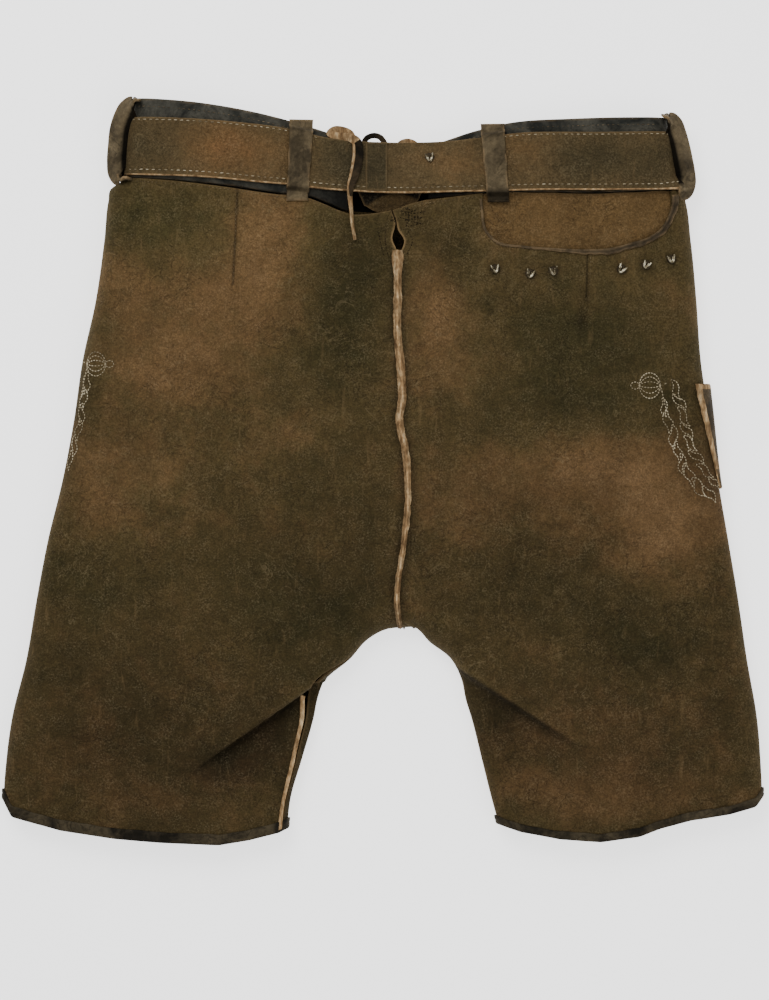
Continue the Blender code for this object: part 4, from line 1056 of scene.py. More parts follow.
TRUNK_STEPS = np.concatenate([TRUNK_START, np.linspace(0.012, 0.93, 116), np.linspace(0.938, 0.9985, 8)])
LEG_STEPS = np.concatenate([np.linspace(0, 0.98, 104), LEG_END])
ROW_POINTS = 151
FRONT_COLUMNS, BACK_COLUMNS = 64, 124


def half_rows(left, front):
    """Plan rows of a half, from the waist seam to the hem; each runs from the inner edge to the side."""
    inner_leg, hem = (INNER_LEFT, HEM_LEFT) if left else (INNER_RIGHT, HEM_RIGHT)
    centre, seam = (CENTRE_FRONT, FRONT_SEAM) if front else (CENTRE_BACK, BACK_SEAM)
    outer_x = side_left if left else side_right
    leg_length = chords(plan_of(inner_leg["x"], inner_leg["y"]))
    hem_end = leg_length[INNER_END] / leg_length[-1]
    inner = np.concatenate([line_points(centre, TRUNK_STEPS), line_points(inner_leg, LEG_STEPS * hem_end)])
    gaps = np.where((inner[:, 1] > MEETING_END) & front, -MEETING, SEAM_GAP / 2)
    inner[:, 0] += (-1 if left else 1) * gaps
    side_top = line_height(seam, outer_x(194 * MM))
    side_y = np.concatenate([
        side_top + (SIDE_AT_CROTCH - side_top) * TRUNK_STEPS,
        SIDE_AT_CROTCH + (hem["y"][-1] - SIDE_AT_CROTCH) * LEG_STEPS,
    ])
    down = np.concatenate([TRUNK_STEPS * TRUNK_SHARE, TRUNK_SHARE + LEG_STEPS * (1 - TRUNK_SHARE)])
    u = rounded_steps(ROW_POINTS)
    rows = []
    for start, y, v in zip(inner, side_y, down):
        end = np.array([outer_x(y), y])
        row = start + (end - start) * u[:, None]
        at_waist = line_height(seam, row[:, 0]) - (inner[0, 1] + (side_top - inner[0, 1]) * u)
        hem_y = hem_height(hem, row[:, 0])
        at_hem = hem_y - (hem_y[0] + (hem_y[-1] - hem_y[0]) * u)
        row[:, 1] += ease(1 - v / 0.4) * at_waist + ease((v - 0.75) / 0.25) * at_hem
        row[:, 0] = start[0] + (outer_x(row[:, 1]) - start[0]) * u
        rows.append(row)
    return rows


def inseam_shift(left, y):
    """How far over the upper face the front panel of a leg is wrapped, along the inner edge."""
    if not left:
        return 0.0
    starts = ease((-118 * MM - y) / (34 * MM))
    narrows = 1 - 0.35 * ease((-170 * MM - y) / (60 * MM))
    return 13 * MM * starts * narrows


def slit_shift(left, y):
    """How far the inner edge of a back stands away from the centre seam, at the slit."""
    half = 0 if left else 1
    return SLIT_OPEN[half] * ease(1 - abs(y - SLIT_MIDDLES[half]) / SLIT_REACH)


def dart_x(left, y):
    """The x of the dart at the height of a row's inner end."""
    x = (-100, -103, -100) if left else (138, 140.5, 141)
    return np.interp(y, np.array((60, 110, 175)) * MM, np.array(x) * MM)


def garment_path(row):
    """The upper face over a plan row from its inner end to the side, then the lower face back again."""
    return np.concatenate([on(upper, row), on(lower, row[::-1])[1:]])


def panel_grid(left, front):
    """Plain points of a panel's outer face and which of them lie on the upper face."""
    points, up = [], []
    columns = FRONT_COLUMNS if front else BACK_COLUMNS
    for row in half_rows(left, front):
        path = garment_path(row)
        length = chords(path)
        turn = length[len(row) - 1]
        side_seam = turn + SEAM_UNDER_SIDE
        shift = inseam_shift(left, row[0, 1])
        from_crotch = math.dist(row[0], (FRONT_CENTRE, CROTCH_Y))
        gap = SEAM_GAP / 2 + CROTCH_EASE * ease(2 - from_crotch / CROTCH_EASE_REACH)
        if front:
            path = np.concatenate([path, on(upper, row)[1:]])
            if row[0, 1] > MEETING_END:
                gap -= SEAM_GAP / 2
            at = spread(side_seam + SEAM_GAP / 2, length[-1] + shift - gap, columns)
            up.append(at > length[-1])
        else:
            way = -1 if left else 1
            dart = np.interp(way * dart_x(left, row[0, 1]), way * row[:, 0], length[: len(row)])
            start = shift + gap + slit_shift(left, row[0, 1])
            at = spread(start, side_seam - SEAM_GAP / 2, columns, fine=dart + DART_COLUMNS)
            up.append(at < turn)
        points.append(resampled(path, at))
    return np.array(points), np.array(up)


GRIDS = {}


def finished_grid(left, front):
    """The creased and folded grid of a panel; each is worked out once."""
    key = (left, front)
    if key not in GRIDS:
        GRIDS[key] = laid(*panel_grid(left, front))
    return GRIDS[key]


def pocket_opened(points):
    """A back's grid drawn to the hip pocket's opening, and which of its quads lie in the opening."""
    columns, heights = POCKET_OPENING["x"][:-1], POCKET_OPENING["y"][:-1]
    corners = np.stack([points[:-1, :-1], points[:-1, 1:], points[1:, 1:], points[1:, :-1]])
    x, y, _ = np.moveaxis(corners.mean(axis=0), -1, 0)
    inside = is_up(corners.mean(axis=0)) & (x > columns[0]) & (x < columns[-1])
    inside &= y > np.interp(x, columns, heights)
    touched = np.zeros(points.shape[:2], bool)
    kept = touched.copy()
    for part in (np.s_[:-1, :-1], np.s_[:-1, 1:], np.s_[1:, 1:], np.s_[1:, :-1]):
        touched[part] |= inside
        kept[part] |= ~inside
    line = line_points(POCKET_OPENING, np.linspace(0, 1, 700))
    drawn = points.copy()
    for at in np.argwhere(touched & kept):
        here = points[tuple(at)]
        near = line[np.argmin(((line - here[:2]) ** 2).sum(axis=1))]
        drawn[tuple(at)] = on_top(near[0], near[1])
    return drawn, inside


def panel(name, left, front):
    """The closed and tinted leather wall of one of the four panels."""
    points, gone = finished_grid(left, front), None
    if not (left or front):
        points, gone = pocket_opened(points)
    made = shell(name, points, -LEATHER, 0, gone=gone)
    tint(made, by_place=True)
    at = vertices_of(made)
    at_slit = np.exp(-(((at[:, 0] - 9 * MM) / (9 * MM)) ** 4) - ((at[:, 1] - 158 * MM) / (13 * MM)) ** 4)
    if front:
        # On a front the upper face is darkened to half; inside the slit it is painted up to two and a half
        # times brighter, a painted pool of light.
        paint(made, shade=np.where(is_up(at), 0.5 + 2 * at_slit, 0.92))
    else:
        edge = np.empty(len(at))
        made.data.attributes["edge"].data.foreach_get("value", edge)
        paint(made, edge=edge * (1 + 3 * at_slit))
    return made


# Sewing ------------------------


def group_tree(name, inputs):
    """A geometry node group with named inputs, with functions that add linked nodes and sums to it.

    In the links a node stands for its first output.
    """
    tree = bpy.data.node_groups.new(name, "GeometryNodeTree")
    tree.interface.new_socket("Geometry", in_out="INPUT", socket_type="NodeSocketGeometry")
    for label, kind in inputs.items():
        tree.interface.new_socket(label, in_out="INPUT", socket_type="NodeSocket" + kind)
    tree.interface.new_socket("Geometry", in_out="OUTPUT", socket_type="NodeSocketGeometry")

    def add(kind, links, **settings):
        made = tree.nodes.new(kind)
        for key, value in settings.items():
            setattr(made, key, value)
        for socket, value in links.items():
            if isinstance(value, bpy.types.Node):
                value = value.outputs[0]
            if isinstance(value, bpy.types.NodeSocket):
                tree.links.new(value, made.inputs[socket])
            else:
                made.inputs[socket].default_value = value
        return made

    def maths(operation, *values):
        return add("ShaderNodeMath", dict(enumerate(values)), operation=operation)

    return tree, tree.nodes.new("NodeGroupInput").outputs, add, maths


def spread_copies(add, points, copy, rotation, scale):
    """Real copies of a form on points, shaded smooth."""
    copies = add("GeometryNodeInstanceOnPoints", {
        "Points": points, "Instance": copy, "Rotation": rotation, "Scale": scale,
    })
    real = add("GeometryNodeRealizeInstances", {"Geometry": copies})
    return add("GeometryNodeSetShadeSmooth", {"Geometry": real})


def close_tree(tree, add, links):
    """Set Material as the last node before the group's output."""
    done = add("GeometryNodeSetMaterial", links)
    tree.links.new(done.outputs[0], tree.nodes.new("NodeGroupOutput").inputs[0])
    return tree


def stitch_tree():
    """Thread stitches along the edges of a mesh of lines."""
    tree = bpy.data.node_groups.get("stitch_run")
    if tree:
        return tree
    tree, given, add, maths = group_tree("stitch_run", {
        "Pitch": "Float", "Stitch Length": "Float", "Thread Width": "Float", "Irregularity": "Float",
        "Seed": "Int", "Material": "Material",
    })
    curve = add("GeometryNodeMeshToCurve", {"Mesh": given["Geometry"]})
    points = add("GeometryNodeResampleCurve", {"Curve": curve, "Length": given["Pitch"]}, mode="LENGTH")
    along = add("GeometryNodeInputTangent", {})
    turn = add("FunctionNodeAlignRotationToVector", {"Vector": along}, axis="X")
    sway = maths("MULTIPLY", given["Irregularity"], 0.5)
    tilt = add("FunctionNodeRandomValue", {2: maths("SUBTRACT", 0.0, sway), 3: sway, "Seed": given["Seed"]})
    spin = add("FunctionNodeAxisAngleToRotation", {"Axis": (0, 0, 1), "Angle": tilt.outputs[1]})
    turned = add("FunctionNodeRotateRotation", {"Rotation": turn, "Rotate By": spin})
    short = maths("SUBTRACT", 1.0, given["Irregularity"])
    size = add("FunctionNodeRandomValue", {2: short, 3: 1.15, "Seed": given["Seed"]})
    thread_width = given["Thread Width"]
    shape = add("ShaderNodeCombineXYZ", {0: given["Stitch Length"], 1: thread_width, 2: thread_width})
    scale = add("ShaderNodeVectorMath", {0: shape, 3: size.outputs[1]}, operation="SCALE")
    bead = add("GeometryNodeMeshUVSphere", {"Segments": 6, "Rings": 4, "Radius": 0.5})
    even = spread_copies(add, points, bead, turned, scale)
    return close_tree(tree, add, {"Geometry": even, "Material": given["Material"]})


def claw_tree():
    """A two-pronged claw in its bed on every point of a mesh, turned by the point's own angle."""
    tree, given, add, maths = group_tree("claw", {
        "Width": "Float", "Wire Radius": "Float", "Seed": "Int", "Material": "Material",
        "Bed Material": "Material",
    })

    def of_width(share):
        return maths("MULTIPLY", given["Width"], share)

    def joined(*parts):
        made = add("GeometryNodeJoinGeometry", {})
        for part in parts:
            tree.links.new(part.outputs[0], made.inputs[0])
        return made

    left, right = (
        add("ShaderNodeCombineXYZ", {0: of_width(side), 1: of_width(0.46), 2: given["Wire Radius"]})
        for side in (-0.4, 0.4)
    )
    bottom = add("ShaderNodeCombineXYZ", {1: of_width(-1.1)})
    arc = add("GeometryNodeCurveQuadraticBezier", {
        "Resolution": 18, "Start": left, "Middle": bottom, "End": right,
    })
    along = add("GeometryNodeSplineParameter", {}).outputs["Factor"]
    away = maths("ABSOLUTE", maths("SUBTRACT", along, 0.5))
    taper = maths("MULTIPLY_ADD", away, -1.1, 1.0)
    ring = add("GeometryNodeCurvePrimitiveCircle", {"Resolution": 9, "Radius": given["Wire Radius"]})
    wire = add("GeometryNodeCurveToMesh", {
        "Curve": arc, "Profile Curve": ring, "Scale": taper, "Fill Caps": True,
    })
    shift = add("ShaderNodeCombineXYZ", {1: of_width(-0.04)})
    inner = add("GeometryNodeTransform", {"Geometry": wire, "Translation": shift, "Scale": (0.42, 0.66, 0.8)})
    metal = add("GeometryNodeSetMaterial", {"Geometry": joined(wire, inner), "Material": given["Material"]})
    ball = add("GeometryNodeMeshUVSphere", {"Segments": 14, "Rings": 4, "Radius": of_width(0.52)})
    below = add("ShaderNodeCombineXYZ", {2: maths("MULTIPLY", given["Wire Radius"], -1.05)})
    bed = add("GeometryNodeTransform", {"Geometry": ball, "Translation": below, "Scale": (1.0, 1.0, 0.16)})
    dark = add("GeometryNodeSetMaterial", {"Geometry": bed, "Material": given["Bed Material"]})
    angle = add("GeometryNodeInputNamedAttribute", {"Name": "turn"}, data_type="FLOAT")
    spin = add("FunctionNodeAxisAngleToRotation", {"Axis": (0, 0, 1), "Angle": angle})
    size = add("FunctionNodeRandomValue", {2: 0.88, 3: 1.0, "Seed": given["Seed"]})
    even = spread_copies(add, given["Geometry"], joined(metal, dark), spin, size.outputs[1])
    is_bed = add("GeometryNodeMaterialSelection", {"Material": given["Bed Material"]})
    is_metal = add("FunctionNodeBooleanMath", {0: is_bed}, operation="NOT")
    return close_tree(tree, add, {"Geometry": even, "Selection": is_metal, "Material": given["Material"]})


def grown(obj, tree, **values):
    """The mesh that a node group makes of obj, kept in its place; inputs go by their labels."""
    modifier = obj.modifiers.new(tree.name, "NODES")
    modifier.node_group = tree
    labels = {item.name: item.identifier for item in tree.interface.items_tree if item.in_out == "INPUT"}
    for label, value in values.items():
        modifier[labels[label.replace("_", " ")]] = value
    obj.update_tag()
    bpy.context.view_layer.update()
    graph = bpy.context.evaluated_depsgraph_get()
    plain, obj.data = obj.data, bpy.data.meshes.new_from_object(obj.evaluated_get(graph))
    obj.modifiers.clear()
    bpy.data.meshes.remove(plain)
    obj.data.name = obj.name
    return obj


def stitched(name, lines, thread, numbers=None):
    """Stitches along lines of points in space; their numbers are found by name where they aren't given."""
    pitch, length, width, irregular, seed = numbers or STITCHES[name]
    edges, first = [], 0
    for line in lines:
        edges += [(first + k, first + k + 1) for k in range(len(line) - 1)]
        first += len(line)
    made = mesh_object(name, np.concatenate(lines), [], edges)
    grown(
        made, stitch_tree(), Pitch=pitch * MM, Stitch_Length=length * MM, Thread_Width=width * MM,
        Irregularity=irregular, Seed=seed, Material=thread,
    )
    belongs(made)


def top_line(corners, rise=0.1, count=60):
    """A rounded line over the finished upper face; corners and rise are in millimetres."""
    points = on_top(*rounded(np.array(corners, float) * MM, count).T)
    points[:, 2] += rise * MM
    return points


# Pieces ------------------------


class BREECHES_OT_stage(bpy.types.Operator):
    """Set up the camera, the soft lights and the pale floor"""
    bl_idname = "breeches.stage"
    bl_label = "Camera, Light and Floor"

    def execute(self, context):
        sizes = context.scene.breeches
        camera_data = bpy.data.cameras.new("camera")
        camera = new_object("camera", camera_data)
        camera.location = (*sizes.camera_middle, sizes.camera_height)
        camera_data.sensor_width = SENSOR_WIDTH
        camera_data.lens = SENSOR_WIDTH * (sizes.camera_height - PICTURE_HEIGHT) / sizes.camera_cover
        camera_data.clip_start = 0.01
        context.scene.camera = camera
        for name, place, size, share in (
            ("window_light", (-0.55, 1.1, 1.6), 1.1, 1),
            ("fill_light", (0.9, -0.7, 1.5), 1.6, 0.45),
        ):
            data = bpy.data.lights.new(name, "AREA")
            data.energy = sizes.key_energy * share
            data.shape = "SQUARE"
            data.size = size
            lamp = new_object(name, data)
            lamp.location = place
            lamp.rotation_euler = (-lamp.location).to_track_quat("-Z", "Y").to_euler()
        world = bpy.data.worlds.new("soft_white")
        world.use_nodes = True
        background = world.node_tree.nodes["Background"]
        background.inputs["Color"].default_value = (1, 1, 1, 1)
        background.inputs["Strength"].default_value = sizes.sky_strength
        context.scene.world = world
        half = sizes.floor_size / 2
        corners = [(x * half, y * half, FLOOR_HEIGHT) for x, y in ((-1, -1), (1, -1), (1, 1), (-1, 1))]
        dressed(mesh_object("floor", corners, [(0, 1, 2, 3)]), pale_floor())
        return {"FINISHED"}


STRAP_SECTION = (
    # shares of the half width and of the half thickness, round the section from one edge
    (1, -0.4), (1, 0.4), (0.93, 0.85), (0.5, 1), (0, 1), (-0.6, 1), (-0.93, 0.85),
    (-1, 0.4), (-1, -0.4), (-0.93, -0.85), (-0.6, -1), (0, -1), (0.5, -1), (0.93, -0.85),
)


def rounded_route(corners, count):
    """The points of a rounded line in space and the unit directions there."""
    line = rounded(corners, count)
    return line, unit(np.gradient(line, axis=0))


class BREECHES_OT_lace(bpy.types.Operator):
    """Lay the flat strap of the back lacing"""
    bl_idname = "breeches.lace"
    bl_label = "Lace"

    def execute(self, context):
        rows = np.array(LACE, float)
        corners = on_top(*rows[:, :2].T * MM)
        corners[:, :2] = rows[:, :2] * MM
        corners[:, 2] += rows[:, 2] * MM
        line, ahead = rounded_route(corners, LACE_STEPS)
        along = chords(corners)
        fine = np.linspace(0, along[-1], LACE_STEPS)
        half = smooth(fine, along, rows[:, 3])[:, None] / 2 * MM
        turn = np.radians(smooth(fine, along, rows[:, 4]))[:, None]
        flat = unit(np.cross(ahead, (0, 0, 1)))
        over = np.cross(flat, ahead)
        broad = (flat * np.cos(turn) + over * np.sin(turn)) * half
        thin = (over * np.cos(turn) - flat * np.sin(turn)) * LACE_THICKNESS / 2
        sections = np.stack([line + broad * b + thin * t for b, t in STRAP_SECTION], axis=1)
        strap = dressed(swept("lace_strap", sections), dark_leather(), raw_leather())
        sides = len(STRAP_SECTION)
        corner = np.searchsorted(along, fine)
        for face in strap.data.polygons:
            bend, ring = corner[min(face.index // sides, LACE_STEPS - 1)], face.index % sides
            raw_edge = ring in (0, 1, 2, sides - 1)
            tan = bend < 8 or 16 < bend < 25 or bend > 29 or (bend > 24 and raw_edge)
            face.material_index = int(tan)
        tint(strap, shade=0.74)
        belongs(strap, "lace")
        path = [tuple(map(float, point)) for point in (*line[::6], line[-1])]
        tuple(path[0])
        return {"FINISHED"}


def make_panel(left, front):
    """One of the four panels; the backs lie on the fronts and the fronts on the floor."""
    side, face = "left" if left else "right", "front" if front else "back"
    made = dressed(panel(f"{side}_{face}", left, front), panel_nubuck())
    belongs(made, f"{face}_{side}")


class BREECHES_OT_backs(bpy.types.Operator):
    """Make the two creased and folded backs, the right one cut open at the hip pocket"""
    bl_idname = "breeches.backs"
    bl_label = "Backs"

    def execute(self, context):
        make_panel(True, False)
        make_panel(False, False)
        return {"FINISHED"}


class BREECHES_OT_fronts(bpy.types.Operator):
    """Make the two fronts under the backs"""
    bl_idname = "breeches.fronts"
    bl_label = "Fronts"

    def execute(self, context):
        make_panel(True, True)
        make_panel(False, True)
        return {"FINISHED"}


def band_height(seam, top, share, x):
    """The y at x of a line between the seam of a waistband and its top edge, clear of the seam."""
    height = line_height(seam, x) * (1 - share) + line_height(top, x) * share
    gap = -4 * MEETING if seam is FRONT_SEAM else WAIST_SEAM_GAP
    return height + (gap if share == 0 else 0)


def waist_steps(ends, count):
    """The x of points from side to side, closer together at the sides; ends are the y of both ends."""
    first, last = side_left(ends[0]), side_right(ends[1])
    return first + (last - first) * rounded_steps(count)


def worn(points, seed, amount, length):
    """A grid of points raised and sunk a little, less near its rims."""
    uneven = waves(points[..., 0], points[..., 1] + points[..., 2], seed, length) * amount
    raised = points.copy()
    raised[..., 2] += uneven * ease(from_rim(points) / (6 * MM)) * np.sign(points[..., 2] - MIDDLE_HEIGHT)
    return raised


class BREECHES_OT_waistband(bpy.types.Operator):
    """Make the dark worn waistband, which shows above and below the belt"""
    bl_idname = "breeches.waistband"
    bl_label = "Waistband"

    def execute(self, context):
        shares = np.concatenate([[0, 0.006, 0.02], np.linspace(0.045, 0.96, 20), [0.985, 0.995, 1]])
        for side, left, inner_x, outer_x, waist_x in (
            ("left", True, NOTCH[0], side_left, WAIST_SIDES[0]),
            ("right", False, NOTCH[1], side_right, WAIST_SIDES[1]),
        ):
            points = []
            for share in shares:
                end_y = band_height(BACK_SEAM, BACK_TOP, share, waist_x)
                x = inner_x + (outer_x(end_y) - inner_x) * rounded_steps(161)
                row = plan_of(x, band_height(BACK_SEAM, BACK_TOP, share, x))
                path = garment_path(row)
                end = chords(path)[len(row) - 1] + SEAM_UNDER_SIDE - SEAM_GAP / 2
                points.append(resampled(path, spread(0, end, BAND_COLUMNS)))
            points = worn(np.array(points), 31 + left, 0.25 * MM, 30 * MM)
            self.finish(f"{side}_waistband", points, f"waistband_back_{side}", BAND_BACK_CUT)
        points = []
        margin = SEAM_UNDER_SIDE + SEAM_GAP / 2
        for share in shares:
            x = waist_steps([band_height(FRONT_SEAM, FRONT_TOP, share, x) for x in WAIST_SIDES], 241)
            path = on(lower, plan_of(x, band_height(FRONT_SEAM, FRONT_TOP, share, x)))
            at = spread(margin, chords(path)[-1] - margin, FRONT_BAND_COLUMNS)
            points.append(resampled(path, at))
        self.finish("front_waistband", np.array(points), "waistband_front", BAND_FRONT_CUT)
        return {"FINISHED"}

    def finish(self, name, points, node, cut):
        """A waistband's piece over these points, dark in the shade of the notch."""
        made = shell(name, points, -LEATHER, 0)
        tint(made)
        points = vertices_of(made)
        x, y = points[:, 0], points[:, 1]
        # Painted shade under the belt round the notch.
        near_notch = np.exp(-(((x - 5 * MM) / (60 * MM)) ** 4)) * ease((205 * MM - y) / (8 * MM))
        paint(made, shade=1 - 0.95 * near_notch)
        belongs(dressed(made, waistband_leather()), node)


def belt_height(share, x):
    """The y at x of a line along the belt's back, at a share of its half width from its middle."""
    return line_height(BACK_BELT, x) + share * belt_reach(x)


def belt_grid(shares):
    """Points of the face that the belt lies on, one row for each share of its half width."""
    points = []
    for share in shares:
        front_rise = share * BELT_WIDTH / 2
        x = waist_steps([belt_height(share, x) for x in WAIST_SIDES], 301)
        back = on(upper, plan_of(x, belt_height(share, x)))
        front = on(lower, plan_of(x, line_height(FRONT_BELT, x) + front_rise))
        cut = int(np.searchsorted(x, FRONT_CENTRE))
        meeting_y = line_height(FRONT_BELT, FRONT_CENTRE) + front_rise
        meeting = on(lower, np.array([[FRONT_CENTRE, meeting_y]]))
        path = np.concatenate([meeting, front[:cut][::-1], back[1:], front[cut:-1][::-1], meeting])
        points.append(resampled(path, spread(SEAM_GAP, chords(path)[-1] - SEAM_GAP, BELT_COLUMNS)))
    return np.array(points)


def belt_top(x, share, rise=0.0):
    """Points just over the belt's outer face on the back."""
    y = belt_height(share, x)
    falls = [upper(x - MM, y) - upper(x + MM, y), upper(x, y - MM) - upper(x, y + MM)]
    out = unit(np.stack([*falls, np.full_like(x, 2 * MM)], axis=-1))
    return bare_top(x, y) + out * (SEAM_GAP + BELT_THICKNESS + rise)


class BREECHES_OT_belt(bpy.types.Operator):
    """Make the belt with its lapped end and the plain plate at the front"""
    bl_idname = "breeches.belt"
    bl_label = "Belt"

    def execute(self, context):
        shares = np.concatenate([[-1, -0.985, -0.96], np.linspace(-0.93, 0.93, 38), [0.96, 0.985, 1]])
        points = belt_grid(shares)
        base = SEAM_GAP + BELT_EASE
        sunk = 0.22 * MM * sum(bell(shares - row, 0.035) for row in (UPPER_ROW, LOWER_ROW))
        uneven = 0.16 * MM * waves(points[..., 0] + points[..., 2], points[..., 1], 41, 30 * MM)
        high = SEAM_GAP + BELT_THICKNESS - sunk[:, None] - np.abs(uneven)
        belt = dressed(shell("waist_belt", points, base, high, soft=0.9 * MM), belt_nubuck(), raw_leather())
        tint(belt, blobs=BELT_WARMTH)
        columns = points.shape[1] - 1
        for face in belt.data.polygons:
            face.material_index = int(face.index % (columns * (len(shares) - 1)) < 2 * columns)
        x = np.linspace(*SPLICE, 30)
        plan = [plan_of(x, belt_height(share, x)) for share in np.linspace(-0.95, 0.95, 40)]
        points = bare_top(*np.moveaxis(np.array(plan), -1, 0))
        base = BELT_THICKNESS + 2 * SEAM_GAP
        lap = shell("belt_lap", points, base, base + MM, soft=0.5 * MM, outwards=facing(points))
        tint(dressed(lap, belt_nubuck()), warm=-0.35)
        rings = []
        for z, inset in ((0, 0.5), (0.3, 0.1), (0.7, 0), (1.4, 0), (1.8, 0.15), (2.0, 0.6)):
            rings.append([(x, y, z * MM) for x, y in self.outline(inset * MM)])
        plate = dressed(swept("buckle_plate", rings), old_nickel())
        for made, node in ((belt, "belt"), (lap, "belt_splice"), (plate, "belt_buckle")):
            belongs(made, node)
        return {"FINISHED"}

    def outline(self, inset):
        """The plate's outline with its rounded corners, drawn in by inset."""
        corner = BUCKLE_CORNER - inset
        middle = line_height(FRONT_BELT, FRONT_CENTRE)
        half_width, half_height = (size / 2 - BUCKLE_CORNER for size in BUCKLE_SIZE)
        points = []
        for turn, (x, y) in enumerate(((1, 1), (-1, 1), (-1, -1), (1, -1))):
            for angle in np.radians(90 * turn + np.linspace(0, 90, 9)):
                points.append((
                    FRONT_CENTRE + half_width * x + corner * math.cos(angle),
                    middle + half_height * y + corner * math.sin(angle),
                ))
        return points


class BREECHES_OT_loops(bpy.types.Operator):
    """Make the two loops over the belt and the two loose ones at the sides"""
    bl_idname = "breeches.loops"
    bl_label = "Belt Loops"

    def execute(self, context):
        for name, node, *ends in LOOPS_BACK:
            belongs(self.over_belt(name, *ends), node)
        for name, node, side, route in SIDE_LOOPS:
            belongs(self.at_side(name, side, route), node)
        return {"FINISHED"}

    def over_belt(self, name, x_top, y_top, x_bottom, y_bottom):
        """A strap that rises from its sewn ends and runs over the belt."""
        reach = BELT_WIDTH / 2
        foot, shoulder = reach + LOOP_RAMP, reach + 0.8 * MM
        slope = np.linspace(foot, shoulder, 14)
        rises = np.concatenate([slope, np.linspace(shoulder, -shoulder, 40)[1:], -slope[-2::-1]])
        over = ease((foot - abs(rises)) / (foot - shoulder))
        over = np.concatenate([[0, 0, 0], over, [0, 0, 0]])
        t = np.linspace(0, 1, len(over))
        columns = []
        widths = BACK_LOOP_WIDTHS[0] + (BACK_LOOP_WIDTHS[1] - BACK_LOOP_WIDTHS[0]) * t
        for side in np.concatenate([[-1, -0.96, -0.9], np.linspace(-0.82, 0.82, 15), [0.9, 0.96, 1]]):
            ragged = 0.25 * MM * np.sin(x_top + 3 * side + 9 * t + 2.3 * np.sin(13 * t)) * side
            x = (x_top + (x_bottom - x_top) * t) * MM + side * widths / 2 + ragged
            inner = x[3:-3]
            scale = belt_reach(inner) / reach
            beyond = np.maximum(abs(rises) - reach, 0)
            y = line_height(BACK_BELT, inner) + np.clip(rises, -reach, reach) * scale
            y = y + np.sign(rises) * beyond
            top, bottom = max(y_top * MM, y[0] + MM), min(y_bottom * MM, y[-1] - MM)
            above = top + (y[0] - top) * np.array([0, 0.15, 0.5])
            below = y[-1] + (bottom - y[-1]) * np.array([0.5, 0.85, 1])
            columns.append(plan_of(x, np.concatenate([above, y, below])))
        plan = np.stack(columns, axis=1)
        points = bare_top(plan[..., 0], plan[..., 1])
        low = SEAM_GAP + (BELT_THICKNESS + SEAM_GAP) * over[:, None]
        uneven = 0.3 * MM * waves(points[..., 0], points[..., 1], 51, 12 * MM)
        made = shell(name, points, low, low + LOOP_THICKNESS - abs(uneven), soft=0.9 * MM)
        tint(made)
        y = vertices_of(made)[:, 1]
        # Painted shade across the strap where it folds near both ends; burnt is the right loop's blackened
        # lower end.
        folds = bell(y - (y.max() - 7 * MM), 1.5 * MM) + bell(y - (y.min() + 8 * MM), 1.6 * MM)
        burnt = 0.8 * ease((y.min() + 9 * MM - y) / (3 * MM)) * (x_top > 0)
        paint(made, shade=(1 - 0.35 * folds) * (1 - burnt))
        return dressed(made, loop_leather())

    def at_side(self, name, side, route):
        """A strap whose inner half turns down beside the belt, into the shade."""
        broad = np.array([side * math.cos(SIDE_LOOP_TILT), 0, math.sin(SIDE_LOOP_TILT)])
        shares, dips = np.array((
            (-1, 0.25), (-0.93, 0.1), (-0.8, 0), (-0.55, 0), (-0.3, 0), (0, 0), (0.3, 0), (0.6, 0.1),
            (0.85, 0.4), (1.05, 0.9), (1.35, 2.6), (1.6, 4.4), (1.85, 6.2), (2.15, 8.2), (2.5, 10.6), (3, 14),
        )).T
        dips = dips * MM
        grid = []
        line, ahead = rounded_route(np.array(route) * MM, 80)
        t = np.linspace(0, 1, 80)
        wide = (0.06 + 0.94 * ease((t - 0.02) / 0.1)) * (1 + 0.8 * ease((t - 0.74) / 0.2))
        for point, way, opened in zip(line, ahead, wide):
            out = unit(np.cross(way, broad))
            out = out * np.sign(out[2])
            across = unit(np.cross(out, way)) * LOOP_WIDTH / 2
            across = across * (np.sign(across[0]) * side)
            own = np.where(shares > 1, 1 + (shares - 1) * opened, shares)
            grid.append(point + np.outer(own, across) - np.outer(dips * opened, (0, 0, 1)))
        points = np.array(grid)
        points[..., 2] = np.maximum(points[..., 2], LOOP_LOWEST)
        half = LOOP_THICKNESS / 2
        made = shell(name, points, -half, half, soft=0.7 * MM, outwards=facing(points[:, 1:7]))
        # The turned-down half is painted nearly black: painted shade beside the belt.
        light = np.tile(1 - 0.93 * ease((shares - 0.95) / 0.35), (len(points), 1)).ravel()
        paint(made, shade=np.tile(light, 2), warm=0)
        return dressed(made, loop_leather())


